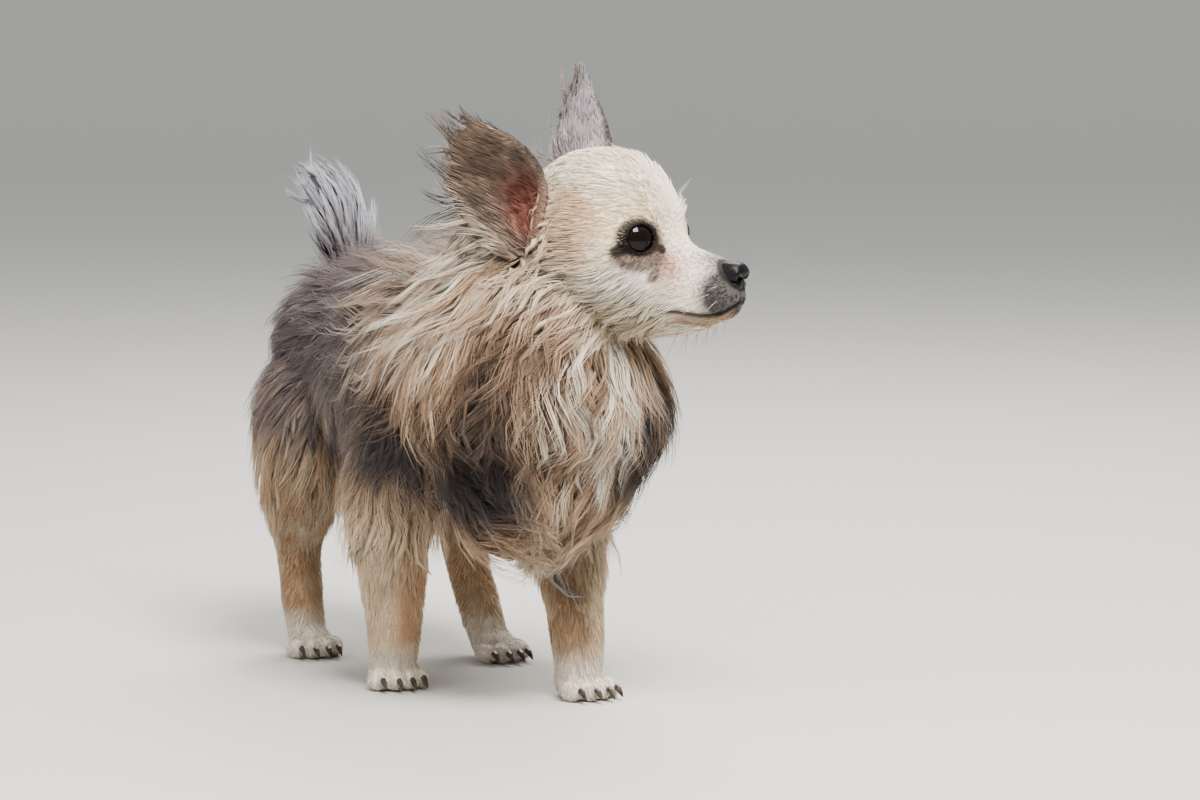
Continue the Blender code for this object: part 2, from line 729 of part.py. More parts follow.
def build_ear(name, side):
    """A thick cupped leaf, closed to a funnel at the root and open to the tip."""
    root, tip, facing = ear_frame(side)
    widen = EAR_WIDEN[side]
    along = (tip - root).normalized()
    across = along.cross(facing).normalized()
    facing = across.cross(along).normalized()
    length = (tip - root).length
    rows = 11
    columns = 9
    half_widths = spline(EAR_HALF_WIDTHS, rows)
    opens = spline(EAR_WRAPS, rows)
    thick = spline(EAR_THICKNESSES, rows)
    points = []
    for layer in (0, 1):
        for i in range(rows):
            spread = math.radians(float(opens[i][0]))
            radius = widen * float(half_widths[i][0]) / max(math.sin(min(spread, math.pi / 2)), 0.3)
            shift = radius * math.cos(spread) if spread < math.pi / 2 else 0
            bend = facing * (-4.0 * math.sin(math.pi * i / (rows - 1)))
            for k in range(columns):
                angle = spread * (-1 + 2 * k / (columns - 1))
                reach = radius - (1 - layer) * float(thick[i][0])
                place = root + along * (length * i / (rows - 1)) + bend
                place = place + across * (reach * math.sin(angle))
                place = place - facing * (reach * math.cos(angle) - shift) * EAR_DEPTH
                points.append(place)
    faces = []
    sheet = rows * columns
    for layer in (0, 1):
        for i in range(rows - 1):
            for k in range(columns - 1):
                low = layer * sheet + i * columns + k
                faces.append((low, low + 1, low + columns + 1, low + columns))
    for i in range(rows - 1):
        for k in (0, columns - 1):
            low = i * columns + k
            faces.append((low, low + columns, low + columns + sheet, low + sheet))
    for k in range(columns - 1):
        for low in (k, (rows - 1) * columns + k):
            faces.append((low, low + 1, low + 1 + sheet, low + sheet))
    return new_object(name, points, faces)


def surface_of(form):
    """A search tree over a form's surface, in mm."""
    points = [vert.co / MM for vert in form.data.vertices]
    return BVHTree.FromPolygons(points, [tuple(face.vertices) for face in form.data.polygons])


def root_on(surface, middle, outward):
    """Where a line from outside toward middle first meets the surface, or None."""
    outward = Vector(outward).normalized()
    start = Vector(middle) + outward * 200
    hit = surface.ray_cast(start, -outward)
    return hit[0]


def on_surface(surface, place):
    """True where a root found on the guide lies on the part's own surface."""
    return place is not None and surface.find_nearest(place)[3] < 1.0


def build_lock(surface, root, lie, kind, scale=1.0):
    """One flat, tapered lock that leaves its root along lie(place) and bends over the surface."""
    length, width, thick, sink, lift, wave = kind
    length *= scale * random.uniform(0.85, 1.15)
    width *= scale * random.uniform(0.85, 1.15)
    sway = wave * random.uniform(-1, 1)
    steps = len(LOCK_WIDTHS)
    place = Vector(root)
    rings = []
    spine = []
    for k in range(steps + 1):
        t = k / steps
        near, normal, _, _ = surface.find_nearest(place)
        height = -sink if k == 0 else lift * t ** 1.4 - sink * 0.3 * (1 - t)
        above = (place - near).dot(normal)
        if k == 0:
            place = near + normal * height
        elif above < height:
            place = place + normal * (height - above)
        else:
            place = place + normal * (height - above) * 0.35
        along = Vector(lie(place)).normalized()
        side = normal.cross(along).normalized()
        spine.append((place.copy(), along, side, normal))
        turn = along - normal * along.dot(normal) * 0.8
        place = place + turn.normalized() * (length / steps) + side * sway * math.sin(5.0 * t + 1.0)
    for k in range(steps):
        middle, along, side, normal = spine[k]
        up = side.cross(spine[k + 1][0] - spine[k][0]).normalized()
        if up.dot(normal) < 0:
            up = -up
        half = width * LOCK_WIDTHS[k] / 2
        ridge = thick * (0.75 + 0.25 * LOCK_WIDTHS[k]) * (1 - 0.55 * k / steps)
        base = middle - up * ridge * 0.35
        rings.append([base - side * half, middle + up * ridge * 0.65, base + side * half])
    first = sum(rings[0], Vector()) / 3 - (spine[1][0] - spine[0][0]).normalized() * 1.0
    return skin_rings("lock", rings, first, spine[-1][0])


def paint(target, colour, roughness):
    """One plain material of its own for each solid, and smooth shading."""
    material = bpy.data.materials.new(target.name)
    material.use_nodes = True
    shader = material.node_tree.nodes["Principled BSDF"]
    shader.inputs["Base Color"].default_value = (*colour, 1)
    shader.inputs["Roughness"].default_value = roughness
    target.data.materials.clear()
    target.data.materials.append(material)
    target.data.polygons.foreach_set("use_smooth", [True] * len(target.data.polygons))
    target.data.set_sharp_from_angle(angle=math.radians(CREASE_ANGLE))


FUR_CREAM = (0.78, 0.69, 0.55)
FUR_RUFF = (0.62, 0.50, 0.38)
FUR_GREY = (0.34, 0.30, 0.29)
FUR_TAN = (0.72, 0.52, 0.34)
FUR_WHITE = (0.82, 0.80, 0.80)
BLACK = (0.015, 0.014, 0.016)
HORN = (0.10, 0.085, 0.075)


def main():
    """Builds every part, cuts the thin gaps between them and sets the origin under the dog."""
    clear_scene()
    random.seed(SEED + 2)
    head = build_head()
    nose = build_nose()
    eyes = [build_eye("eye_right", -1), build_eye("eye_left", 1)]
    neck = neck_core()
    torso = torso_core()
    tail = build_tail()
    legs = [
        build_leg("foreleg_right", FORELEG, (-36, -52), (-36, -27), -4, FORE_PAW_WIDTH, -1),
        build_leg("foreleg_left", FORELEG, (36, -66), (37, -95), 8, FORE_PAW_WIDTH, 1),
        build_leg("hindleg_right", HINDLEG, (-36, 72), (-37, 78), -5, HIND_PAW_WIDTH, -1),
        build_leg("hindleg_left", HINDLEG, (36, 66), (44, 22), 6, HIND_PAW_WIDTH, 1),
    ]
    claws = []
    claws.append(claw_pieces("claw_fore_right", (-36, -27, 0), -4, FORE_PAW_WIDTH))
    claws.append(claw_pieces("claw_fore_left", (37, -95, 0), 8, FORE_PAW_WIDTH))
    claws.append(claw_pieces("claw_hind_right", (-37, 78, 0), -5, HIND_PAW_WIDTH))
    claws.append(claw_pieces("claw_hind_left", (44, 22, 0), 6, HIND_PAW_WIDTH))
    ears = [build_ear("ear_right", -1), build_ear("ear_left", 1)]

    guide_form = copy_of(torso)
    combine(guide_form, [copy_of(part) for part in [neck] + legs], "UNION")
    guide = surface_of(guide_form)
    bpy.data.objects.remove(guide_form)
    torso_locks(torso, guide)
    neck_locks(neck, guide)
    for ear, side in zip(ears, (-1, 1)):
        ear_locks(ear, side)
    breeches(legs[2], -1, guide)
    breeches(legs[3], 1, guide)
    feathers(legs[0], guide)
    feathers(legs[1], guide)

    plain_nose = nose_form()
    combine(head, [grown(plain_nose, GAP)], "DIFFERENCE")
    bpy.data.objects.remove(plain_nose)
    for ear in ears:
        combine(ear, [grown(head, GAP)], "DIFFERENCE")
    combine(neck, [grown(head, GAP)], "DIFFERENCE")
    for ear in ears:
        combine(neck, [grown(ear, 3 * GAP)], "DIFFERENCE")
    combine(torso, [grown(neck, GAP)], "DIFFERENCE")
    combine(tail, [grown(torso, GAP)], "DIFFERENCE")
    for leg in legs:
        combine(leg, [grown(neck, 3 * GAP)], "DIFFERENCE")
        combine(leg, [grown(torso, 2 * GAP)], "DIFFERENCE")

    for part in [head, nose, neck, torso, tail] + ears + legs:
        simplify(part)

    paint(head, FUR_CREAM, 0.8)
    paint(nose, BLACK, 0.3)
    for eye in eyes:
        paint(eye, BLACK, 0.08)
    paint(ears[0], FUR_GREY, 0.85)
    paint(ears[1], FUR_GREY, 0.85)
    paint(neck, FUR_RUFF, 0.85)
    paint(torso, FUR_GREY, 0.85)
    paint(tail, FUR_WHITE, 0.85)
    for leg in legs:
        paint(leg, FUR_TAN, 0.85)
    for nails in claws:
        for nail in nails:
            paint(nail, HORN, 0.45)
    set_origin()


def set_origin():
    """Moves everything so that the origin is under the middle of the whole dog, on the floor."""
    low = Vector((1e9, 1e9, 1e9))
    high = -low
    for part in bpy.data.objects:
        for vert in part.data.vertices:
            for k in range(3):
                low[k] = min(low[k], vert.co[k])
                high[k] = max(high[k], vert.co[k])
    shift = Vector((-(low[0] + high[0]) / 2, -(low[1] + high[1]) / 2, -low[2]))
    for part in bpy.data.objects:
        part.data.transform(Matrix.Translation(shift))


main()
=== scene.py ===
"""Looks of the long-haired chihuahua: one skin, a coat of tapered tufts, eyes, nose leather, claws and whiskers.

Everything is worked out in millimetres in the dog's own frame (it looks along -Y, its left is +X, the
floor is z = 0) from the sizes the solids were built from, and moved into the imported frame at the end.
"""
import math

import bmesh
import bpy
import numpy as np
from mathutils import Matrix, Vector
from mathutils.bvhtree import BVHTree

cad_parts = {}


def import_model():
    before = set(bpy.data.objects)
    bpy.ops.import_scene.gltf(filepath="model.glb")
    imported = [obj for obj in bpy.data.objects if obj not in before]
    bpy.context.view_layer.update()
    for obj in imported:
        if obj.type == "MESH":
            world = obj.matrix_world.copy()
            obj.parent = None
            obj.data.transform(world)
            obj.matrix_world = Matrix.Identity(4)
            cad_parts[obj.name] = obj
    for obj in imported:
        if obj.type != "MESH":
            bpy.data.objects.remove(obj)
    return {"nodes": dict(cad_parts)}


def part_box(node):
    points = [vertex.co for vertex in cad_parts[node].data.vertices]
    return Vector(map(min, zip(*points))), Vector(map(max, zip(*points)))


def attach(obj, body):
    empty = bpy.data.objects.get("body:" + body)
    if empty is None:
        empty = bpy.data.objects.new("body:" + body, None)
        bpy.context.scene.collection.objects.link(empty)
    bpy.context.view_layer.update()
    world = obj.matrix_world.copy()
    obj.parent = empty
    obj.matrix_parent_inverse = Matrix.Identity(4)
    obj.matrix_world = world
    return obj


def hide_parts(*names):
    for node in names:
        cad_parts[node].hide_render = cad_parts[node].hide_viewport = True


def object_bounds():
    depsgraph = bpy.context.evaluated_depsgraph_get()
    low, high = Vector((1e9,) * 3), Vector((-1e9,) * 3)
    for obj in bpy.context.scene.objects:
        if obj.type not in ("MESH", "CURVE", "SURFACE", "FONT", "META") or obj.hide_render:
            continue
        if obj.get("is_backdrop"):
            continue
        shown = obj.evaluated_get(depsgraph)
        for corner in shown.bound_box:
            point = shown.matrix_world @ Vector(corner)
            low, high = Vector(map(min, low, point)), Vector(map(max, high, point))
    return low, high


MM = 0.001
SEED = 7

# The head has its own frame: ahead, to the dog's left and up from the middle of the skull.
SKULL_AT = (36.0, -122.0, 245.0)
HEAD_YAW = 35.0
EYE_RADIUS = 10.4
EYE_AT = (27.6, 18.4, -9.0)
EYE_TURN = 33.0
LID_THICKNESS = 1.3
LID_OPENING = (7.5, 6.8)
NOSE_AT = (72.6, -26.3)
NOSE_HALF_WIDTH = 7.4
MOUTH_HINGE = 60.0
MOUTH_TURN = 150.0
MOUTH_HEIGHTS = ((-38.6,), (-44.6,), (-45.8,), (-45.2,), (-43.0,))

EAR_HALF_WIDTHS = ((8,), (15,), (21.5,), (23.5,), (20.5,), (12.5,), (2.5,))
EAR_WRAPS = ((125,), (105,), (86,), (72,), (60,), (46,), (30,))
EAR_THICKNESSES = ((5.0,), (6.0,), (4.2,), (3.2,), (2.6,), (2.2,), (1.6,))
EAR_DEPTH = 0.62
EAR_WIDEN = {-1: 1.10, 1: 1.16}

RUFF_CORE = 0.80
TORSO_CORE = 9.0
HEAD_INSET = 0.8
LEG_INSET = 1.6
TAIL_INSET = 3.0

# place, y, top, bottom, half width, all in mm out to the tips of the coat
TORSO = (
    ("forechest", -112, 168, 112, 24),
    ("shoulders", -90, 204, 96, 44),
    ("withers", -62, 219, 88, 56),
    ("ribs", -25, 218, 86, 60),
    ("waist", 15, 214, 90, 58),
    ("loin", 50, 212, 98, 56),
    ("hips", 80, 208, 108, 57),
    ("rump", 110, 197, 120, 47),
    ("seat", 127, 177, 140, 26),
)
# place, x, y, z, half width, depth forward, depth behind, out to the tips of the ruff
NECK = (
    ("nape", 30, -108, 244, 31, 24, 25),
    ("throat", 26, -108, 222, 47, 40, 41),
    ("collar", 17, -102, 196, 63, 56, 57),
    ("ruff", 13, -96, 166, 78, 72, 67),
    ("mane", 11, -93, 137, 78, 74, 62),
    ("apron", 8, -96, 112, 60, 60, 42),
    ("chest fringe", 3, -104, 88, 45, 47, 34),
    ("chest tip", 2, -110, 70, 24, 24, 18),
)
# place, then in the head's own frame ahead, top and bottom, and half width
HEAD = (
    ("occiput", -37, 2, -22, 13),
    ("back of skull", -30, 19, -36, 26),
    ("ears", -18, 29, -46, 33),
    ("crown", -4, 33, -52, 36),
    ("temples", 10, 32.5, -56, 36.5),
    ("forehead", 23, 27.5, -57, 32),
    ("brow", 32, 19.5, -57, 27),
    ("eyes", 38, 8.5, -57, 22.5),
    ("stop", 43, -5, -57, 18.5),
    ("bridge", 50, -12, -56, 15.6),
    ("muzzle", 60, -15.5, -54, 13.8),
    ("whisker pad", 69, -18.5, -50, 12.4),
    ("lips", 74.5, -22, -45.5, 9.8),
    ("lip front", 78, -27.5, -40.5, 5.2),
)
# place, x, y, z, half width, depth forward, depth behind
FORELEG = (
    ("shoulder", -10, 4, 156, 15, 15, 17),
    ("upper arm", 1, 2, 132, 22, 20, 23),
    ("elbow", 4, 8, 108, 23, 18, 24),
    ("forearm", 3.5, 4, 80, 20, 15, 19),
    ("wrist", 1.5, 0, 44, 15.5, 13, 14.5),
    ("pastern", 0.5, 0, 20, 13.5, 13, 11.5),
    ("heel", 0, 0, 6, 11.5, 12, 10),
)
HINDLEG = (
    ("hip", -12, 2, 168, 12, 16, 18),
    ("thigh", 3, -2, 138, 26, 32, 41),
    ("knee", 6, -6, 108, 25, 28, 39),
    ("shin", 4, 6, 82, 19.5, 19, 28),
    ("hock", 0, 17, 56, 12.5, 12.5, 16),
    ("shank", 0, 12, 30, 11.5, 11.5, 13),
    ("heel", 0, 4, 7, 11, 12, 10),
)
# place, x, y, z, half width across the fan, thickness up, thickness down
TAIL = (
    ("dock", 0, 92, 186, 9, 9, 9),
    ("root", 1, 107, 199, 12, 10, 10),
    ("rise", 0, 112, 213, 15, 10, 10),
    ("bend", -4, 112, 226, 16, 9, 9),
    ("end", -8, 110, 235, 12, 7, 7),
)
# stem of the name, rows, side, hip or shoulder, foot, turn of the foot, width of the paw
LEGS = (
    ("foreleg_right", FORELEG, -1, (-36, -52), (-36, -27), -4, 26.0),
    ("foreleg_left", FORELEG, 1, (36, -66), (37, -95), 8, 26.0),
    ("hindleg_right", HINDLEG, -1, (-36, 72), (-37, 78), -5, 24.0),
    ("hindleg_left", HINDLEG, 1, (36, 66), (44, 22), 6, 24.0),
)
TOE_RADIUS = 5.2

# The skin is remeshed in a space that is swollen round the head, so that the head gets finer faces.
SWELL_AT = (12.0, 0.0, -12.0)
SWELL_RADIUS = 64.0
SWELL = 2.3
VOXEL = 1.95

VIEW_AZIMUTH = -26.0
VIEW_ELEVATION = 7.0
VIEW_DISTANCE = 2500.0
VIEW_TARGET = (47.2, -97.9, 150.0)
LENS = 150.0

rng = np.random.default_rng(SEED)


# forms

def spline(rows, count):
    """count rows eased through the given rows of numbers, evenly spread between them."""
    rows = np.array(rows, dtype=float)
    padded = np.vstack([2 * rows[0] - rows[1], rows, 2 * rows[-1] - rows[-2]])
    result = []
    for t in np.linspace(0, len(rows) - 1, count):
        i = min(int(t), len(rows) - 2)
        f = t - i
        before, start, end, after = padded[i:i + 4]
        curve = 2 * start + (end - before) * f
        curve = curve + (2 * before - 5 * start + 4 * end - after) * f ** 2
        curve = curve + (3 * start - before - 3 * end + after) * f ** 3
        result.append(curve / 2)
    return np.array(result)


def closed_rings(rings, first_pole, last_pole):
    """Points and faces of a closed form through rings of equal length."""
    points = [tuple(first_pole)]
    for ring in rings:
        points.extend(tuple(p) for p in ring)
    points.append(tuple(last_pole))
    size = len(rings[0])
    faces = []
    for k in range(size):
        nxt = (k + 1) % size
        faces.append((0, 1 + nxt, 1 + k))
        for i in range(len(rings) - 1):
            low = 1 + i * size
            faces.append((low + k, low + nxt, low + size + nxt, low + size + k))
        low = 1 + (len(rings) - 1) * size
        faces.append((low + k, low + nxt, len(points) - 1))
    return points, faces


def ring_shape(segments, half_width, up, down, roundness):
    """Side and height steps of one section."""
    for k in range(segments):
        angle = 2 * math.pi * k / segments
        across = math.cos(angle)
        height = math.sin(angle)
        side = math.copysign(abs(across) ** (2 / roundness), across) * half_width
        rise = math.copysign(abs(height) ** (2 / roundness), height)
        yield side, rise * (up if rise > 0 else down)


def loft(rows, hint, ring_count, segments, roundness=2.2, nose=0.5):
    """A form whose sections follow rows of x, y, z, half width, up, down."""
    rows = spline(rows, ring_count)
    centres = [Vector(row[:3]) for row in rows]
    rings = []
    for i, row in enumerate(rows):
        along = centres[min(i + 1, ring_count - 1)] - centres[max(i - 1, 0)]
        along.normalize()
        side = along.cross(Vector(hint)).normalized()
        up = side.cross(along)
        ring = []
        for across, rise in ring_shape(segments, row[3], row[4], row[5], roundness):
            ring.append(centres[i] + side * across + up * rise)
        rings.append(ring)
    start = centres[0] + (centres[0] - centres[1]).normalized() * rows[0][3] * nose
    end = centres[-1] + (centres[-1] - centres[-2]).normalized() * rows[-1][3] * nose
    return closed_rings(rings, start, end)


def ball(centre, radii, segments, rings, turn=None):
    """Points and faces of an ellipsoid, its own axes turned by a matrix."""
    turn = turn or Matrix.Identity(3)
    layers = []
    for i in range(1, rings):
        polar = math.pi * i / rings
        layer = []
        for k in range(segments):
            angle = 2 * math.pi * k / segments
            place = Vector((math.cos(angle) * math.sin(polar) * radii[0],
                            math.sin(angle) * math.sin(polar) * radii[1],
                            math.cos(polar) * radii[2]))
            layer.append(Vector(centre) + turn @ place)
        layers.append(layer)
    top = Vector(centre) + turn @ Vector((0, 0, radii[2]))
    bottom = Vector(centre) - turn @ Vector((0, 0, radii[2]))
    return closed_rings(layers, top, bottom)


def head_place(ahead, left, up):
    """A point of the head's own frame, in the dog's frame."""
    yaw = math.radians(HEAD_YAW)
    x = SKULL_AT[0] + ahead * math.sin(yaw) + left * math.cos(yaw)
    y = SKULL_AT[1] - ahead * math.cos(yaw) + left * math.sin(yaw)
    return Vector((x, y, SKULL_AT[2] + up))


def head_turn():
    """The matrix that turns ahead, left, up into the dog's frame."""
    origin = head_place(0, 0, 0)
    ahead = head_place(1, 0, 0) - origin
    left = head_place(0, 1, 0) - origin
    return Matrix((ahead, left, Vector((0, 0, 1)))).transposed()


def eye_middle(side):
    """Middle of the eyeball, side is 1 on the dog's left and -1 on its right."""
    return head_place(EYE_AT[0], side * EYE_AT[1], EYE_AT[2])


def eye_turn(side):
    """The matrix whose x axis is the way the eye looks, y across the opening and z up."""
    turn = math.radians(EYE_TURN) * side
    local = Matrix.Rotation(turn, 3, "Z") @ Matrix.Rotation(math.radians(-4), 3, "Y")
    return head_turn() @ local


def head_form():
    """Skull, cheeks and muzzle."""
    rings = []
    rows = spline([row[1:] for row in HEAD], 70)
    for ahead, top, bottom, half_width in rows:
        top -= HEAD_INSET
        bottom += HEAD_INSET
        half_width -= HEAD_INSET
        middle = bottom + (top - bottom) * 0.47
        skull_share = min(max((45 - ahead) / 12, 0), 1)
        ring = []
        for across, rise in ring_shape(56, half_width, top - middle, middle - bottom, 2.15):
            height = middle + rise
            narrow = 1 - 0.16 * skull_share * max(0, (-30 - height) / 28)
            cheek = 1 + 0.05 * skull_share * math.exp(-((height + 24) / 14) ** 2)
            ring.append(head_place(ahead, across * narrow * cheek, height))
        rings.append(ring)
    back = head_place(HEAD[0][1] - 4, 0, -9)
    front = head_place(HEAD[-1][1] + 0.4, 0, -33.5)
    return closed_rings(rings, back, front)


def torso_form():
    """Ribs, waist and hips under the coat."""
    rows = []
    for _, y, top, bottom, half_width in TORSO:
        top -= TORSO_CORE
        bottom += TORSO_CORE
        half_width -= TORSO_CORE * 0.9
        middle = bottom + (top - bottom) * 0.56
        rows.append((0, y, middle, half_width, top - middle, middle - bottom))
    return loft(rows, (0, 0, 1), 40, 48, 2.2, 0.4)


def neck_form():
    """Neck and chest under the ruff."""
    yaw = math.radians(HEAD_YAW * 0.5)
    hint = (math.sin(yaw), -math.cos(yaw), 0)
    rows = []
    for _, x, y, z, half_width, fore, back in NECK:
        z += (152 - z) * (1 - RUFF_CORE) * 0.6
        rows.append((x, y, z, half_width * RUFF_CORE, fore * RUFF_CORE, back * RUFF_CORE))
    return loft(rows, hint, 40, 48, 2.1, 0.3)


def leg_rows(rows, side, at, foot):
    """The rows of a leg in the dog's frame, slanted to reach its foot."""
    slanted = []
    for _, out, y, z, half_width, fore, back in rows:
        share = min(max(1 - (z - 6) / (rows[0][3] - 6), 0), 1)
        x = at[0] + side * out + (foot[0] - at[0]) * share
        inset = LEG_INSET + 4.5 * min(max((z - 70) / 60, 0), 1)
        slanted.append((x, at[1] + y + (foot[1] - at[1]) * share, z, half_width - inset,
                        fore - inset, back - inset))
    return slanted


def paw_forms(foot, yaw, width):
    """The pad and four toes of one foot."""
    forms = []
    turn = Matrix.Rotation(math.radians(yaw), 3, "Z")
    half = width / 2
    pad = Vector((*foot, 0)) + turn @ Vector((0, 1, 7.5))
    forms.append(ball(pad, (half * 0.86, half * 0.96, 8.2), 24, 14, turn))
    for k in range(4):
        across = (k - 1.5) * half * 0.56
        ahead = half * (0.98 if k in (1, 2) else 0.70)
        toe = Vector((*foot, 0)) + turn @ Vector((across, -ahead, TOE_RADIUS * 0.98))
        forms.append(ball(toe, (TOE_RADIUS * 0.84, TOE_RADIUS * 1.38, TOE_RADIUS * 1.02), 20, 12, turn))
    return forms


def ear_frame(side):
    """Root, tip and the way the cup faces, for one ear, in the dog's frame."""
    if side < 0:
        root = head_place(-22, -37, -18)
        tip = head_place(-52, -48, 51)
        facing = head_turn() @ Vector((0.22, -0.95, -0.22))
    else:
        root = head_place(-15, 32, -12)
        tip = head_place(-36, 43, 67)
        facing = head_turn() @ Vector((0.50, 0.86, -0.05))
    along = (tip - root).normalized()
    across = along.cross(facing.normalized()).normalized()
    return root, tip, along, across, across.cross(along).normalized()


def ear_folds(t, front):
    """How far the folds low in the cup stand up, front is 1 at the front rim and -1 at the rear one."""
    total = 0.0
    for at, low, high, size in ((0.46, 0.08, 0.44, 2.6), (0.16, 0.10, 0.38, 2.2), (-0.12, 0.06, 0.32, 2.4)):
        ends = ease(t, low, low + 0.08) * (1 - ease(t, high - 0.10, high))
        total += size * ends * math.exp(-((front - at + 0.25 * (t - 0.2)) / 0.075) ** 2)
    return total


def ear_form(side):
    """The cupped leaf of one ear."""
    root, tip, _, across, facing = ear_frame(side)
    length = (tip - root).length
    rows = 46
    columns = 37
    half_widths = spline(EAR_HALF_WIDTHS, rows)
    opens = spline(EAR_WRAPS, rows)
    thick = spline(EAR_THICKNESSES, rows)
    points = []
    for layer in (0, 1):
        for i in range(rows):
            spread = math.radians(float(opens[i][0]))
            radius = EAR_WIDEN[side] * float(half_widths[i][0]) / max(math.sin(min(spread, math.pi / 2)), 0.3)
            shift = radius * math.cos(spread) if spread < math.pi / 2 else 0
            bend = facing * (-4.0 * math.sin(math.pi * i / (rows - 1)))
            wall = float(thick[i][0])
            for k in range(columns):
                angle = spread * (-1 + 2 * k / (columns - 1)) * 0.985
                reach = radius - (0.35 if layer else wall - 0.25)
                place = root + (tip - root) * (0.985 * i / (rows - 1)) + bend
                place = place + across * (reach * math.sin(angle))
                place = place - facing * (reach * math.cos(angle) - shift) * EAR_DEPTH
                if layer == 0:
                    front = -side * (-1 + 2 * k / (columns - 1))
                    place = place + facing * float(ear_folds(i / (rows - 1), front))
                points.append(tuple(place))
    faces = []
    sheet = rows * columns
    for layer in (0, 1):
        for i in range(rows - 1):
            for k in range(columns - 1):
                low = layer * sheet + i * columns + k
                faces.append((low, low + 1, low + columns + 1, low + columns))
    for i in range(rows - 1):
        for k in (0, columns - 1):
            low = i * columns + k
            faces.append((low, low + columns, low + columns + sheet, low + sheet))
    for k in range(columns - 1):
        for low in (k, (rows - 1) * columns + k):
            faces.append((low, low + 1, low + 1 + sheet, low + sheet))
    return points, faces


# meshes

def new_object(name, points, faces):
    """A mesh object with its faces turned outward, in the units given."""
    mesh = bpy.data.meshes.new(name)
    mesh.from_pydata([tuple(p) for p in points], [], faces)
    work = bmesh.new()
    work.from_mesh(mesh)
    bmesh.ops.recalc_face_normals(work, faces=work.faces)
    work.to_mesh(mesh)
    work.free()
    made = bpy.data.objects.new(name, mesh)
    bpy.context.scene.collection.objects.link(made)
    return made


def boolean(target, tool, operation):
    """One Boolean, applied, with the tool removed."""
    step = target.modifiers.new("step", "BOOLEAN")
    step.operation = operation
    step.object = tool
    step.solver = "MANIFOLD"
    depsgraph = bpy.context.evaluated_depsgraph_get()
    result = bpy.data.meshes.new_from_object(target.evaluated_get(depsgraph))
    target.modifiers.clear()
    target.data = result
    bpy.data.objects.remove(tool)


def swollen(points):
    """The space round the head swollen, the rest moved outward with it."""
    away = points - np.array(head_place(*SWELL_AT))
    reach = np.linalg.norm(away, axis=1)
    to = np.where(reach < SWELL_RADIUS, reach * SWELL, reach + SWELL_RADIUS * (SWELL - 1))
    return np.array(head_place(*SWELL_AT)) + away * (to / np.maximum(reach, 1e-6))[:, None]


def shrunk(points):
    """Undoes swollen."""
    away = points - np.array(head_place(*SWELL_AT))
    reach = np.linalg.norm(away, axis=1)
    edge = SWELL_RADIUS * SWELL
    to = np.where(reach < edge, reach / SWELL, reach - SWELL_RADIUS * (SWELL - 1))
    return np.array(head_place(*SWELL_AT)) + away * (to / np.maximum(reach, 1e-6))[:, None]


def coordinates(mesh):
    """Vertex coordinates as an array."""
    flat = np.empty(len(mesh.vertices) * 3)
    mesh.vertices.foreach_get("co", flat)
    return flat.reshape(-1, 3)


def set_coordinates(mesh, points):
    """Writes an array back to the vertices."""
    mesh.vertices.foreach_set("co", np.asarray(points, dtype=np.float32).ravel())
    mesh.update()


def smooth(mesh, rounds, share):
    """Moves each vertex toward the middle of its neighbours, then part of the way back."""
    points = coordinates(mesh)
    ends = np.empty(len(mesh.edges) * 2, dtype=np.int64)
    mesh.edges.foreach_get("vertices", ends)
    a, b = ends.reshape(-1, 2).T
    count = np.bincount(a, minlength=len(points)) + np.bincount(b, minlength=len(points))
    for turn in range(rounds * 2):
        total = np.empty_like(points)
        for axis in range(3):
            total[:, axis] = np.bincount(a, points[b, axis], len(points))
            total[:, axis] += np.bincount(b, points[a, axis], len(points))
        step = share if turn % 2 == 0 else -share * 0.85
        points = points + (total / count[:, None] - points) * step
    set_coordinates(mesh, points)


# Labels of the places on the skin.
HEAD_SKIN, EAR_RIGHT, EAR_LEFT, NECK_SKIN, TORSO_SKIN, TAIL_SKIN = range(6)
FIRST_LEG = 6


def skin_forms():
    """Every form under the coat with its label."""
    forms = [(TORSO_SKIN, torso_form()), (NECK_SKIN, neck_form())]
    for k, (_, rows, side, at, foot, yaw, width) in enumerate(LEGS):
        leg = loft(leg_rows(rows, side, at, foot), (0, -1, 0), 34, 28, 2.1, 0.4)
        forms.append((FIRST_LEG + k, leg))
        for form in paw_forms(foot, yaw, width):
            forms.append((FIRST_LEG + k, form))
    rows = []
    for _, x, y, z, across, up, down in TAIL:
        inset = TAIL_INSET
        rows.append((x, y, z, across - inset, up - inset, down - inset))
    forms.append((TAIL_SKIN, loft(rows, (0, 1, 0.4), 20, 20, 2.0, 0.3)))
    for side, label in ((-1, EAR_RIGHT), (1, EAR_LEFT)):
        forms.append((label, ear_form(side)))
    return forms


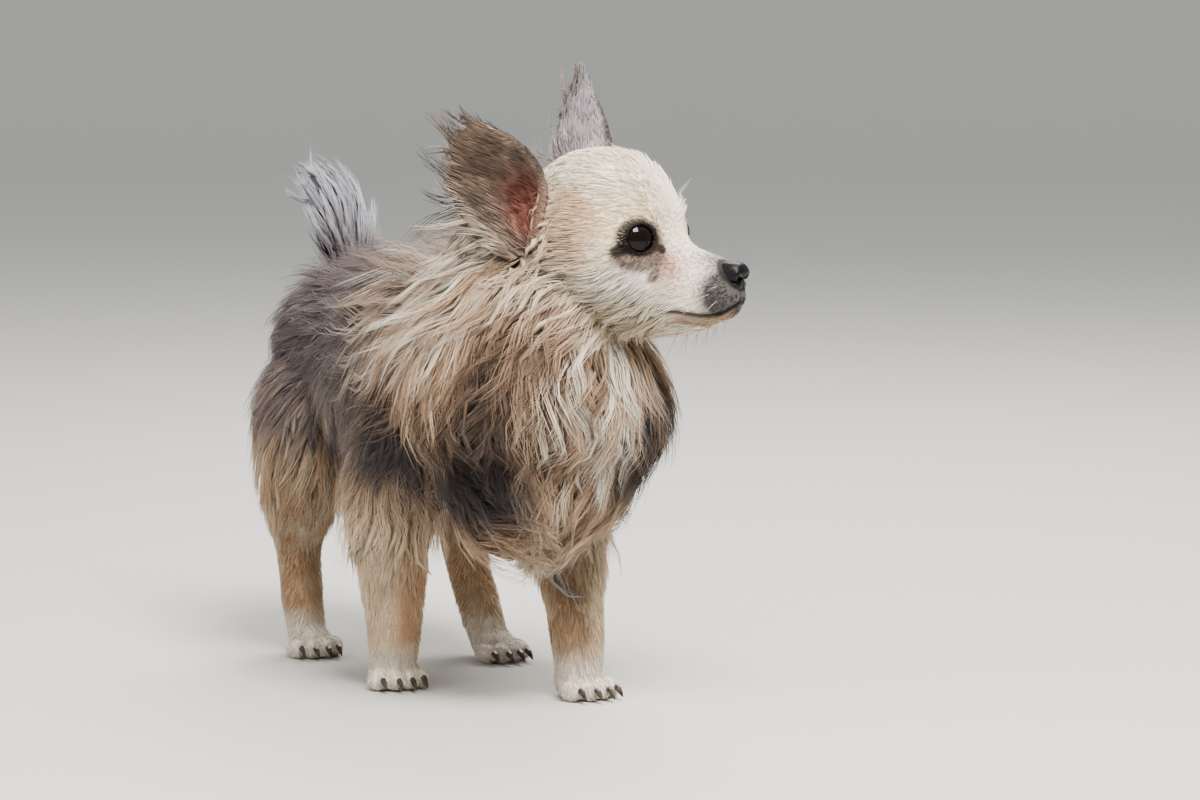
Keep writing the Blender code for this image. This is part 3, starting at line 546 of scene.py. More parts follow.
def build_skin():
    """One skin over every form, finest on the head, with sockets, lids and the line of the mouth."""
    head = new_object("head_form", *head_form())
    for side in (-1, 1):
        radius = EYE_RADIUS + 0.2 + LID_THICKNESS
        lid = new_object("lid", *ball(eye_middle(side), (radius,) * 3, 40, 26, eye_turn(side)))
        boolean(head, lid, "UNION")
    for side in (-1, 1):
        socket = new_object("socket", *ball(eye_middle(side), (EYE_RADIUS + 0.1,) * 3, 40, 26, eye_turn(side)))
        at = eye_middle(side) + eye_turn(side) @ Vector((EYE_RADIUS + 2, 0, 0))
        opening = (EYE_RADIUS, LID_OPENING[0], LID_OPENING[1])
        boolean(socket, new_object("opening", *ball(at, opening, 40, 26, eye_turn(side))), "UNION")
        boolean(head, socket, "DIFFERENCE")
    points = coordinates(head.data)
    forms = [(HEAD_SKIN, ([tuple(p) for p in points], [tuple(f.vertices) for f in head.data.polygons]))]
    bpy.data.objects.remove(head)
    forms += skin_forms()

    all_points = []
    all_faces = []
    labels = []
    for label, (form_points, form_faces) in forms:
        start = len(all_points)
        all_points.extend(form_points)
        all_faces.extend(tuple(start + k for k in face) for face in form_faces)
        labels.extend([label] * len(form_faces))
    sources = BVHTree.FromPolygons(all_points, all_faces)

    skin = bpy.data.objects.new("skin", bpy.data.meshes.new("skin"))
    bpy.context.scene.collection.objects.link(skin)
    work = bmesh.new()
    for _, (form_points, form_faces) in forms:
        piece = bpy.data.meshes.new("piece")
        piece.from_pydata([tuple(p) for p in form_points], [], form_faces)
        part = bmesh.new()
        part.from_mesh(piece)
        bmesh.ops.recalc_face_normals(part, faces=part.faces)
        part.to_mesh(piece)
        part.free()
        work.from_mesh(piece)
        bpy.data.meshes.remove(piece)
    work.to_mesh(skin.data)
    work.free()
    set_coordinates(skin.data, swollen(coordinates(skin.data)))
    step = skin.modifiers.new("remesh", "REMESH")
    step.mode = "VOXEL"
    step.voxel_size = VOXEL
    step.adaptivity = 0.0
    depsgraph = bpy.context.evaluated_depsgraph_get()
    result = bpy.data.meshes.new_from_object(skin.evaluated_get(depsgraph))
    skin.modifiers.clear()
    skin.data = result
    keep_largest(skin)
    set_coordinates(skin.data, shrunk(coordinates(skin.data)))
    smooth(skin.data, 4, 0.5)
    points = coordinates(skin.data)
    points[:, 2] = np.maximum(points[:, 2], 0.25)
    set_coordinates(skin.data, points)
    carve_mouth(skin.data)
    vertex_labels = np.empty(len(points), dtype=np.int64)
    for i, point in enumerate(coordinates(skin.data)):
        vertex_labels[i] = labels[sources.find_nearest(Vector(point))[2]]
    return skin, vertex_labels


def keep_largest(target):
    """Leaves only the shell with the most faces."""
    mesh = target.data
    count = len(mesh.vertices)
    ends = np.empty(len(mesh.edges) * 2, dtype=np.int64)
    mesh.edges.foreach_get("vertices", ends)
    a, b = ends.reshape(-1, 2).T
    group = np.arange(count)
    while True:
        low = np.minimum(group[a], group[b])
        before = group.copy()
        np.minimum.at(group, a, low)
        np.minimum.at(group, b, low)
        group = group[group]
        if (before == group).all():
            break
    values, sizes = np.unique(group, return_counts=True)
    best = values[sizes.argmax()]
    if len(values) > 1:
        work = bmesh.new()
        work.from_mesh(mesh)
        work.verts.ensure_lookup_table()
        spare = [work.verts[i] for i in np.nonzero(group != best)[0]]
        bmesh.ops.delete(work, geom=spare, context="VERTS")
        work.to_mesh(mesh)
        work.free()


def mouth_line():
    """Points along the line of the mouth, from the right corner to the left."""
    heights = spline(MOUTH_HEIGHTS, 31)
    line = []
    for k in range(-30, 31):
        turn = math.radians(MOUTH_TURN) * k / 30
        line.append((turn, float(heights[abs(k)][0]), abs(k) / 30))
    return line


def carve_mouth(mesh):
    """Presses the line of the mouth into the muzzle."""
    points = coordinates(mesh)
    surface = BVHTree.FromPolygons(points.tolist(), [tuple(f.vertices) for f in mesh.polygons])
    origin = head_place(0, 0, 0)
    path = []
    for turn, height, share in mouth_line():
        outward = head_place(math.cos(turn), math.sin(turn), 0) - origin
        hit = surface.ray_cast(head_place(MOUTH_HINGE, 0, height), outward)[0]
        path.append((*hit, share))
    path = np.array(path)
    near = np.linalg.norm(points - path[30, :3], axis=1) < 60
    index = np.nonzero(near)[0]
    best = np.full(len(index), 1e9)
    share = np.zeros(len(index))
    for start, end in zip(path, path[1:]):
        span = end[:3] - start[:3]
        t = np.clip(((points[index] - start[:3]) @ span) / (span @ span), 0, 1)
        distance = np.linalg.norm(points[index] - (start[:3] + t[:, None] * span), axis=1)
        closer = distance < best
        best[closer] = distance[closer]
        share[closer] = start[3]
    normals = vertex_normals(mesh)[index]
    depth = 2.3 * (1 - 0.6 * share ** 2) * np.exp(-(best / 0.95) ** 2)
    lip = 0.6 * (1 - share) * np.exp(-((best - 2.4) / 1.3) ** 2)
    points[index] += normals * (lip - depth)[:, None]
    set_coordinates(mesh, points)


def vertex_normals(mesh):
    """Vertex normals as an array."""
    flat = np.empty(len(mesh.vertices) * 3, dtype=np.float32)
    mesh.vertices.foreach_get("normal", flat)
    return flat.reshape(-1, 3).astype(float)


# markings

def head_coordinates(places):
    """Ahead, left and up of places in the head's own frame."""
    turn = np.array(head_turn())
    return (places - np.array(SKULL_AT)) @ turn


def neck_coordinates(places):
    """Forward, sideways (left is positive) and the angle round the ruff, 0 in front, pi behind."""
    yaw = math.radians(HEAD_YAW * 0.5)
    middle = np.empty_like(places)
    heights = np.array([row[3] for row in NECK])[::-1]
    for axis in range(2):
        middle[:, axis] = np.interp(places[:, 2], heights, np.array([row[1 + axis] for row in NECK])[::-1])
    away = places - middle
    forward = away[:, 0] * math.sin(yaw) - away[:, 1] * math.cos(yaw)
    side = away[:, 0] * math.cos(yaw) + away[:, 1] * math.sin(yaw)
    return forward, side, np.arctan2(np.abs(side), forward)


def ear_coordinates(places, side):
    """How far up an ear, how far toward its rear rim (1 on the rim, -1 on the front one) and into the cup."""
    root, tip, along, across, facing = ear_frame(side)
    away = places - np.array(root)
    t = away @ np.array(along) / (tip - root).length
    half = np.interp(t, np.linspace(0, 1, len(EAR_HALF_WIDTHS)), [row[0] for row in EAR_HALF_WIDTHS])
    return t, away @ np.array(across) * side / (half * EAR_WIDEN[side]), away @ np.array(facing)


def ease(value, low, high):
    """0 below low, 1 above high, smooth between."""
    t = np.clip((value - low) / (high - low), 0, 1)
    return t * t * (3 - 2 * t)


def blob(places, centre, radii):
    """A soft spot: 1 at its centre and near 0 past its radii."""
    return np.exp(-(((places - np.array(centre)) / np.array(radii)) ** 2).sum(axis=1))


def drift(places, reach, seed):
    """Smooth noise, about -1 to 1, that changes over about the given reach in mm."""
    source = np.random.default_rng(seed)
    total = np.zeros(len(places))
    for _ in range(6):
        way = source.normal(0, 1, 3)
        way *= 2 * math.pi / (reach * source.uniform(0.8, 1.7) * np.linalg.norm(way))
        total += np.sin(places @ way + source.uniform(0, 2 * math.pi))
    return np.clip(total / 2.6, -1, 1)


def mix(colours, share, colour):
    """Blends rows of colour toward one colour."""
    return colours + (np.array(colour) - colours) * np.clip(share, 0, 1)[:, None]


CREAM = (0.84, 0.72, 0.56)
WHITE = (0.93, 0.89, 0.83)
PEACH = (0.74, 0.49, 0.30)
TAN = (0.50, 0.30, 0.165)
BROWN = (0.115, 0.076, 0.056)
CHARCOAL = (0.066, 0.060, 0.072)
MAUVE = (0.205, 0.166, 0.172)
EAR_BROWN = (0.265, 0.195, 0.15)
LILAC = (0.46, 0.42, 0.45)
PINK = (0.27, 0.105, 0.082)
# from the darkest locks of the ruff to the palest
RUFF_RAMP = ((0.105, 0.072, 0.056), (0.22, 0.145, 0.10), (0.47, 0.32, 0.215), (0.70, 0.53, 0.40),
             (0.87, 0.74, 0.62), (0.94, 0.88, 0.80))
BLACK = (0.010, 0.008, 0.009)
DARK_SKIN = (0.035, 0.022, 0.02)
LEG_TAN = (0.62, 0.41, 0.255)


def ruff_share(places, labels):
    """1 where the coat belongs to the ruff, 0 where it belongs to the back, belly or legs."""
    y = places[:, 1]
    height = places[:, 2]
    near = (1 - ease(y, -46, -14)) * ease(height, 96, 112)
    share = np.where(labels == TORSO_SKIN, near, 0.0)
    fore = (labels == FIRST_LEG) | (labels == FIRST_LEG + 1)
    share = np.where(fore, near * ease(height, 92, 106), share)
    return np.where(labels == NECK_SKIN, 1.0, share)


def head_tones(local, chance):
    """Cream and white with peach behind the eye, the dark patch round the eye and the grey lips."""
    ahead, left, up = local.T
    mirrored = np.stack([ahead, np.abs(left), up], 1)
    tone = np.tile(np.array(CREAM), (len(local), 1))
    tone = mix(tone, ease(up, 2, 22) * 0.65, WHITE)
    tone = mix(tone, blob(local, (10, 0, 32), (15, 13, 12)) * 0.28, PEACH)
    tone = mix(tone, blob(mirrored, (-2, 30, 0), (18, 15, 17)) * (0.35 + 0.6 * ease(chance, 0.4, 0.65)), PEACH)
    tone = mix(tone, blob(mirrored, (10, 32, -20), (16, 16, 12)) * 0.5 * ease(chance, 0.45, 0.7), PEACH)
    tone = mix(tone, blob(mirrored, (0, 30, -40), (22, 20, 14)) * 0.65 * ease(chance, 0.4, 0.7), TAN)
    tone = mix(tone, blob(mirrored, (-14, 34, -28), (16, 18, 20)) * 0.7 * ease(chance, 0.5, 0.8), BROWN)
    tone = mix(tone, blob(mirrored, (28, 28, -31), (28, 16, 14)) * 0.9, WHITE)
    tone = mix(tone, ease(ahead, 34, 50) * 0.7, WHITE)
    tone = mix(tone, blob(mirrored, (37, 9, 6), (8, 6, 7)), WHITE)
    tone = mix(tone, blob(mirrored, (47, 16, -21), (6.5, 6, 10)) * 0.95, (0.46, 0.22, 0.19))
    tone = mix(tone, blob(mirrored, (50, 11, -13), (6, 5, 5)) * 0.4, (0.60, 0.40, 0.33))
    grey = np.clip(blob(mirrored, (77, 7, -35.5), (17, 16, 15)) * 3.0 - 0.6, 0, 1)
    tone = mix(tone, grey * (0.90 + 0.09 * (chance > 0.45)), (0.030, 0.026, 0.035))
    tone = mix(tone, blob(mirrored, (66, 5, -17), (10, 9, 7)) * 0.85, (0.17, 0.145, 0.155))
    below = mouth_height(local) - up
    lower = ease(below, 0.8, 2.0) * (1 - ease(below, 4.5, 8.0)) * ease(ahead, 40, 52) * (1 - ease(ahead, 72, 77))
    tone = mix(tone, lower * 0.8, (0.40, 0.26, 0.15))
    shade, patch = eye_patch(local)
    tone = mix(tone, shade * (0.82 + 0.18 * ease(chance, 0.3, 0.6)), (0.070, 0.040, 0.030))
    return mix(tone, patch, (0.028, 0.019, 0.018))


def mouth_height(local):
    """Height of the line of the mouth on the side of the muzzle where each place is."""
    heights = spline(MOUTH_HEIGHTS, 31)[:, 0]
    turn = np.abs(np.arctan2(local[:, 1], local[:, 0] - MOUTH_HINGE))
    share = np.clip(turn / math.radians(MOUTH_TURN), 0, 1)
    return np.interp(share, np.linspace(0, 1, 31), heights)


def rod(n, z, start, end, radius):
    """A soft line between two points of a plane: 1 along it and 0 past its radius."""
    span = np.array(end) - np.array(start)
    away = np.stack([n, z], 1) - np.array(start)
    t = np.clip(away @ span / (span @ span), 0, 1)
    distance = np.hypot(*(away - t[:, None] * span).T)
    return 1 - ease(distance, radius * 0.45, radius)


def eye_plane(local, side):
    """How far toward the nose, up and out of the socket places are, seen along the eye's own axis."""
    away = local - np.array((EYE_AT[0], side * EYE_AT[1], EYE_AT[2]))
    turn = np.array(head_turn().transposed() @ eye_turn(side))
    out, across, up = (away @ turn).T
    return -side * across, up, out


def eye_patch(local):
    """How far the brown shade and the near-black hair round the eyes reach, 0 to 1 each."""
    brown = np.zeros(len(local))
    dark = np.zeros(len(local))
    for side in (-1, 1):
        n, z, out = eye_plane(local, side)
        near = out > -12
        ring = 1 - ease(np.hypot((n - 0.3) / 9.8, (z + 0.3) / 8.6), 0.88, 1.10)
        outer = 0.95 * rod(n, z, (-6.5, -3.2), (-12.0, -5.8), 4.2)
        inner = 0.9 * rod(n, z, (6.0, -3.0), (11.0, -5.6), 3.2)
        dark = np.maximum(dark, np.maximum(ring, np.maximum(outer, inner)) * near)
        below = 1 - ease(np.hypot((n + 1.0) / 14.0, (z + 9.5) / 7.6), 0.65, 1.15)
        tear = 0.85 * rod(n, z, (10.0, -6.0), (5.0, -19.5), 3.6)
        around = 0.85 * (1 - ease(np.hypot((n - 0.5) / 12.4, (z + 0.6) / 11.4), 0.82, 1.15))
        total = np.maximum(below, np.maximum(tear, around))
        brown = np.maximum(brown, total * near)
    return np.clip(brown, 0, 0.95), np.clip(dark, 0, 0.97)


def ear_tones(places, side, inside, chance):
    """Grey-lilac outside, brown with a pink middle inside, and a dark rim."""
    t, across, inward = ear_coordinates(places, side)
    outside = np.tile(np.array(LILAC), (len(places), 1))
    outside = mix(outside, (chance < 0.35) * 0.65, (0.20, 0.17, 0.18))
    outside = mix(outside, (chance > 0.8) * 0.6, WHITE)
    outside = mix(outside, ease(across, 0.25, 0.85) * 0.55, (0.11, 0.095, 0.10))
    outside = mix(outside, (1 - ease(t, 0.10, 0.42)) * 0.85, CREAM)
    if side < 0:
        outside = mix(outside, ease(-across, 0.4, 0.8) * ease(t, 0.08, 0.25) * 0.9, (0.07, 0.056, 0.052))
    else:
        outside = mix(outside, ease(t, 0.4, 0.85) * 0.5, (0.20, 0.185, 0.215))
    cup = np.tile(np.array(EAR_BROWN), (len(places), 1))
    cup = mix(cup, ease(chance, 0.5, 0.8) * 0.7, (0.50, 0.42, 0.34))
    cup = mix(cup, (1 - ease(chance, 0.2, 0.45)) * 0.75, (0.095, 0.078, 0.070))
    spot = np.stack([t, across], 1)
    pink = blob(spot, (0.27, -0.32), (0.25, 0.62))
    cup = mix(cup, np.clip(pink * 1.6 - 0.25, 0, 0.92), PINK)
    tone = np.where(inside[:, None], cup, outside)
    skirt = ear_skirt(t, across, inside)
    tone = mix(tone, skirt * (0.35 + 0.6 * ease(chance, 0.3, 0.6)), (0.66, 0.57, 0.49))
    tone = mix(tone, ease(-across, 0.84, 0.97) * ease(t, 0.3, 0.5) * 0.85, (0.03, 0.026, 0.028))
    streaks = ease(across, 0.6, 0.95) * ease(t, 0.3, 0.5) * (1 - ease(chance, 0.3, 0.6))
    tone = mix(tone, streaks * 0.8, (0.045, 0.039, 0.042))
    return mix(tone, ease(t, 0.88, 1.0) * (0.55 if side < 0 else 0.2), (0.06, 0.054, 0.058))


def ruff_tones(places, chance):
    """Light locks over dark ones, a cream swath behind the ears, painted shade under the cheek and a charcoal band
    below.
    """
    _, side, angle = neck_coordinates(places)
    y = places[:, 1]
    height = places[:, 2]
    side_on = ease(angle, 0.7, 1.1)
    pale = chance + 0.14 * ease(height, 168, 200) * ease(angle, 1.3, 1.8)
    pale -= 0.36 * np.exp(-((height - 136) / 20.0) ** 2) * side_on
    pale += 0.10 * (1 - ease(angle, 0.2, 0.8))
    pale += 0.16 * np.exp(-((angle - 1.9) / 0.5) ** 2) * ease(height, 156, 180)
    # painted shade: darker under the cheek, between its long locks and the curls
    pale -= 0.20 * np.exp(-((angle - 0.95) / 0.35) ** 2 - ((height - 168) / 22) ** 2)
    pale -= 0.36 * np.exp(-((angle - 1.1) / 0.4) ** 2) * (1 - ease(height, 190, 214))
    steps = (-0.1, 0.15, 0.36, 0.58, 0.80, 1.0)
    tone = np.stack([np.interp(pale, steps, [row[k] for row in RUFF_RAMP]) for k in range(3)], 1)
    rear = ease(angle, 2.0, 2.7) * (0.75 - 0.5 * pale)
    tone = mix(tone, rear, MAUVE)
    band_height = np.interp(y, (-122, -97, -64, -38), (111, 115, 127, 146))
    reach = ease(np.abs(side), 34, 50) * (1 - 0.85 * ease(y, -66, -42))
    band = np.exp(-((height - band_height) / 18.0) ** 2) * reach
    tone = mix(tone, np.clip(band * 1.7, 0, 0.90) * (0.62 + 0.36 * ease(chance, 0.1, 0.3)), CHARCOAL)
    below = (1 - ease(height, band_height - 26, band_height - 14)) * side_on
    tone = mix(tone, below * (0.70 + 0.2 * ease(chance, 0.4, 0.6)), (0.66, 0.49, 0.35))
    dark_front = ease(side, 2, 18) * (1 - ease(height, 148, 174)) * ease(chance, 0.15, 0.4)
    tone = mix(tone, dark_front * 0.94, (0.030, 0.027, 0.032))
    low_front = (1 - ease(angle, 0.8, 1.25)) * (1 - ease(height, 104, 122))
    tone = mix(tone, low_front * (0.5 + 0.35 * ease(chance, 0.3, 0.6)), (0.66, 0.50, 0.37))
    tone = mix(tone, (1 - ease(height, 72, 90)) * 0.55 * ease(chance, 0.3, 0.6), WHITE)
    curls = (1 - ease(angle, 0.25, 0.75)) * ease(height, 128, 146) * (1 - ease(height, 166, 184))
    return mix(tone, curls * (1 - dark_front) * ease(chance, 0.45, 0.65) * 0.8, WHITE)


def body_tones(places, chance):
    """Mauve-grey back and flanks, paler toward the belly."""
    height = places[:, 2]
    tone = np.tile(np.array(MAUVE), (len(places), 1))
    tone = mix(tone, (1 - ease(chance, 0.1, 0.45)) * 0.6, (0.135, 0.113, 0.112))
    tone = mix(tone, ease(chance, 0.55, 0.9) * 0.5, (0.45, 0.375, 0.34))
    tone = mix(tone, (1 - ease(height, 128, 168)) * 0.35 * ease(chance, 0.3, 0.6), (0.52, 0.40, 0.30))
    tone = mix(tone, (1 - ease(height, 96, 124)) * 0.80, (0.64, 0.49, 0.36))
    return mix(tone, (1 - ease(height, 96, 124)) * 0.6 * ease(chance, 0.5, 0.75), CREAM)


def leg_tones(places, k, chance):
    """Tan inside, cream outside and on the paws, with painted shade on the far left foreleg."""
    _, _, leg_side, at, foot, _, _ = LEGS[k]
    height = places[:, 2]
    share = np.clip(1 - (height - 6) / 140, 0, 1)
    middle = at[0] + (foot[0] - at[0]) * share
    outer = (places[:, 0] - middle) * leg_side
    tone = np.tile(np.array(LEG_TAN), (len(places), 1))
    if k < 2:
        # painted shade: the far left foreleg is darker, as it stands in shade
        if k == 1:
            tone = tone * 0.66
        tone = mix(tone, ease(outer, -1, 9) * (0.45 + 0.35 * ease(chance, 0.2, 0.5)), CREAM)
        tone = mix(tone, (1 - ease(chance, 0.2, 0.5)) * 0.45, CREAM)
    else:
        tone = mix(tone, ease(chance, 0.25, 0.65) * 0.75, CREAM) * 0.80
        tone = mix(tone, ease(height, 108, 134) * (0.75 + 0.2 * ease(chance, 0.2, 0.5)), MAUVE)
        tone = mix(tone, ease(height, 120, 140) * ease(chance, 0.6, 0.9) * 0.5, (0.50, 0.425, 0.375))
    return mix(tone, (1 - ease(height, 12, 30)) * 0.75, WHITE)


def markings(places, labels, inside, chance):
    """Colour of skin and coat at each place. chance is one number from 0 to 1 for each tuft."""
    colours = head_tones(head_coordinates(places), chance)
    for side, label in ((-1, EAR_RIGHT), (1, EAR_LEFT)):
        here = labels == label
        colours[here] = ear_tones(places[here], side, inside[here], chance[here])
    body = (labels == NECK_SKIN) | (labels == TORSO_SKIN)
    colours[body] = body_tones(places[body], chance[body])
    here = labels == TAIL_SKIN
    tone = np.tile(np.array((0.60, 0.60, 0.68)), (int(here.sum()), 1))
    tone = mix(tone, (1 - ease(chance[here], 0.1, 0.4)) * 0.3, MAUVE)
    tone = mix(tone, (1 - ease(places[here, 2], 204, 220)) * 0.8, MAUVE)
    colours[here] = tone
    for k in range(4):
        here = labels == FIRST_LEG + k
        colours[here] = leg_tones(places[here], k, chance[here])
    ruff = ruff_share(places, labels)
    here = ruff > 0
    tone = ruff_tones(places[here], chance[here])
    colours[here] += (tone - colours[here]) * ruff[here, None]
    return colours


# coat

def lie_of(places, labels, inside):
    """The way the coat lies at each place, not yet along the skin."""
    lie = np.zeros_like(places)
    local = head_coordinates(places)
    ahead, left, up = local.T
    height = places[:, 2]
    count = len(places)
    ahead_axis, left_axis, up_axis = np.array(head_turn()).T

    here = labels == HEAD_SKIN
    fall = 0.75 * ease(-up, 6, 36) * (1 - ease(ahead, 36, 56)) + 0.9 * ease(-ahead, -4, 18)
    flow = -np.outer(1 - 0.5 * ease(-ahead, 4, 24), ahead_axis)
    flow += np.outer(-fall, up_axis) + np.outer(np.sign(left) * 0.18, left_axis)
    flow += np.outer(-ease(ahead, 46, 62) * 0.22, up_axis)
    brow = np.clip(blob(np.stack([ahead, np.abs(left), up], 1), (39, 12, 3), (7, 7, 7)) * 2 - 0.5, 0, 1)
    stand = 0.35 * ahead_axis + 0.6 * up_axis + np.outer(np.sign(left) * 0.55, left_axis)
    flow = flow * (1 - brow[:, None]) + stand * brow[:, None]
    lie[here] = flow[here]

    for side, label in ((-1, EAR_RIGHT), (1, EAR_LEFT)):
        here = labels == label
        _, _, along, across, facing = ear_frame(side)
        _, rear, _ = ear_coordinates(places, side)
        t, _, _ = ear_coordinates(places, side)
        straight = 0.25 if side < 0 else 0.85
        toward = np.where(inside, 0.75, 0.25 + 0.5 * np.clip(rear, -1, 1)) * (1 - straight * ease(t, 0.55, 0.9))
        flow = np.array(along) + np.outer(toward, np.array(across) * side)
        skirt = ear_skirt(t, rear, inside)[:, None]
        fall_back = -0.85 * ahead_axis + 0.22 * side * left_axis - 0.55 * up_axis
        flow = flow * (1 - skirt) + fall_back * skirt
        lie[here] = flow[here]

    here = labels == TORSO_SKIN
    fall = 1 - ease(height, 120, 196)
    tail_way = ease(places[:, 1], 70, 120)
    flow = np.stack([0.22 * np.sign(places[:, 0]) * (1 - fall), 1.0 - 0.72 * fall, -0.25 - 0.85 * fall], 1)
    flow[:, 2] -= 0.5 * tail_way
    lie[here] = flow[here]

    here = labels == TAIL_SKIN
    rise = ease(height, 192, 232)
    fan = np.stack([-0.45 * rise + 0.25 * (places[:, 0] + 2) / 12, 0.35 * rise + 0.2 * (places[:, 1] - 111) / 10,
                    np.ones(count)], 1)
    lie[here] = fan[here]

    here = labels >= FIRST_LEG
    foot_share = 1 - ease(height, 8, 22)
    hind = labels >= FIRST_LEG + 2
    back = np.where(hind, 0.35 + 0.2 * ease(height, 60, 120), 0.30 * ease(height, 30, 90))
    flow = np.stack([np.zeros(count), back - 0.9 * foot_share, -1.0 + 0.3 * foot_share], 1)
    lie[here] = flow[here]

    ruff = ruff_share(places, labels)[:, None]
    lie = lie * (1 - ruff) + ruff_flow(places) * ruff
    return lie


def ruff_flow(places):
    """Back and down behind the ears, down over the shoulders, and forward again along the lower edge."""
    _, side, angle = neck_coordinates(places)
    height = places[:, 2]
    yaw = math.radians(HEAD_YAW * 0.5)
    front_axis = np.array((math.sin(yaw), -math.cos(yaw), 0))
    side_axis = np.array((math.cos(yaw), math.sin(yaw), 0))
    front = 1 - ease(angle, 0.35, 1.0)
    behind = ease(angle, 1.9, 2.7)
    high = ease(height, 158, 205)
    low = 1 - ease(height, 112, 150)
    ahead_share = -(0.12 + 0.80 * high) * (1 - 0.85 * front) + 0.95 * low * (1 - front)
    ahead_share = ahead_share * (1 - behind) - 1.0 * behind
    out_share = np.sign(side) * (0.10 + 0.22 * high * (1 - behind) + 0.12 * front)
    down = -(1 - 0.35 * low * (1 - front)) * (1 - behind) - 0.55 * behind
    out_share = out_share - 0.45 * front * (1 - ease(height, 96, 124)) * ease(height, 72, 88)
    flow = np.outer(ahead_share, front_axis) + np.outer(out_share, side_axis)
    flow[:, 2] += down
    return flow


def ear_skirt(t, rear, inside):
    """1 where long hair falls back from behind an ear: low on its outer side and its rear rim."""
    outer = (1 - ease(t, 0.34, 0.58)) * ease(rear, -0.25, 0.15) * ~inside
    rim = ease(rear, 0.62, 0.85) * (1 - ease(t, 0.40, 0.62)) * ease(t, 0.02, 0.12)
    return np.maximum(outer, rim)


def coat_of(places, labels, inside):
    """Length, lift of the tip, wave, and how free of the skin the coat runs, at each place."""
    count = len(places)
    length = np.full(count, 4.0)
    lift = np.full(count, 0.6)
    wave = np.zeros(count)
    free = np.zeros(count)
    local = head_coordinates(places)
    ahead, left, up = local.T
    height = places[:, 2]
    mirrored = np.stack([ahead, np.abs(left), up], 1)

    here = labels == HEAD_SKIN
    size = 2.0 + 2.6 * (1 - ease(ahead, 26, 55)) + 4.5 * (1 - ease(ahead, -10, 22)) + 1.0 * ease(up, 0, 25)
    size += 26 * ease(-up, 10, 30) * (1 - ease(ahead, 6, 56)) + 26 * ease(-ahead, -8, 14) * ease(-up, -14, 10)
    size += 8 * blob(mirrored, (4, 33, 2), (14, 12, 16)) + 2.2 * blob(mirrored, (26, 6, 22), (18, 22, 16))
    size += 11 * ease(-up, 26, 44) * (1 - ease(ahead, 40, 60))
    size += 8 * ease(-up, 44, 53) * ease(ahead, 10, 40) * (1 - ease(ahead, 58, 72))
    size += 7 * blob(mirrored, (39, 12, 3), (8, 9, 9))
    size *= 1 - 0.72 * np.clip(blob(mirrored, (36, 22, -13), (14, 14, 14)) * 1.6, 0, 1)
    length[here] = size[here]
    lift[here] = (0.30 + 0.17 * size + 1.2 * blob(mirrored, (26, 6, 22), (18, 22, 16)) + 2.0 * blob(mirrored, (39, 12, 3), (5, 5, 5)))[here]
    wave[here] = (0.8 * ease(size, 10, 24))[here]
    jaw = 0.45 * ease(-up, 34, 50) * (1 - ease(ahead, 30, 56)) * ease(size, 8, 16)
    free[here] = np.maximum(0.85 * np.clip(blob(mirrored, (39, 12, 3), (7, 7, 7)) * 2 - 0.5, 0, 1), jaw)[here]

    for side, label in ((-1, EAR_RIGHT), (1, EAR_LEFT)):
        here = labels == label
        t, rear, _ = ear_coordinates(places, side)
        fringe = ease(np.abs(rear), 0.72, 0.95) * (rear > 0) * ease(t, 0.12, 0.3)
        size = np.where(inside, 8.5 + 5 * ease(rear, -0.2, 0.6), 8.5)
        skirt = ear_skirt(t, rear, inside)
        size = size + 16 * fringe + (0 if side < 0 else 5) * ease(t, 0.75, 1.0)
        size *= 1 - 0.65 * ease(-rear, 0.6, 0.9)
        size = np.maximum(size, 44 * skirt)
        length[here] = size[here]
        lift[here] = (1.0 + 0.06 * size)[here]
        free[here] = (0.9 * np.maximum(np.maximum(fringe, skirt), ease(t, 0.8, 1.0)))[here]
        wave[here] = (0.10 + 0.6 * skirt)[here]

    here = labels == TORSO_SKIN
    belly = 1 - ease(height, 88, 108)
    size = 32 + 6 * ease(places[:, 1], 40, 110) + 8 * belly
    top = ease(height, 188, 204) * ease(places[:, 1], -60, 20)
    length[here] = size[here]
    lift[here] = (7.0 + 10.0 * top)[here]
    wave[here] = 0.6
    free[here] = (0.45 * belly)[here]

    here = labels == TAIL_SKIN
    length[here] = (36 - 8 * (1 - ease(height, 200, 214)))[here]
    lift[here] = 8.0
    wave[here] = 0.2
    free[here] = (0.75 * ease(height, 198, 226))[here]

    here = labels >= FIRST_LEG
    fore = labels < FIRST_LEG + 2
    thigh = ease(height, 58, 108)
    size = np.where(fore, 6.5 + 19 * ease(height, 34, 100), 6 + 27 * thigh)
    size = np.where(height < 20, 4.6, size)
    length[here] = size[here]
    lift[here] = (0.7 + 0.16 * size)[here]
    wave[here] = (0.5 * ease(size, 8, 20))[here]

    _, side, angle = neck_coordinates(places)
    ruff = ruff_share(places, labels)
    size = 46 + 14 * ease(angle, 0.6, 1.4) - 8 * (1 - ease(height, 84, 106)) - 32 * (1 - ease(height, 64, 86))
    length += (size - length) * ruff
    nape = ease(angle, 1.2, 1.9) * ease(height, 186, 212)
    lift += (10.0 + 14.0 * nape - lift) * ruff
    wave += (1.25 - wave) * ruff
    free += (0.6 * (1 - ease(height, 62, 78)) - free) * ruff * (1 - ease(height, 62, 78))
    return length, lift, wave, free


def tangent_part(vectors, normals):
    """The part of each vector along the skin, at length 1."""
    flat = vectors - normals * (vectors * normals).sum(axis=1)[:, None]
    return unit(flat)


def unit(vectors):
    """Each vector at length 1."""
    return vectors / np.maximum(np.linalg.norm(vectors, axis=1), 1e-6)[:, None]


def nearest(surface, places):
    """Nearest points on the skin, their normals and faces."""
    points = np.empty_like(places)
    normals = np.empty_like(places)
    faces = np.empty(len(places), dtype=np.int64)
    for i, place in enumerate(places.tolist()):
        point, normal, face, _ = surface.find_nearest(Vector(place))
        points[i] = point
        normals[i] = normal
        faces[i] = face
    return points, normals, faces


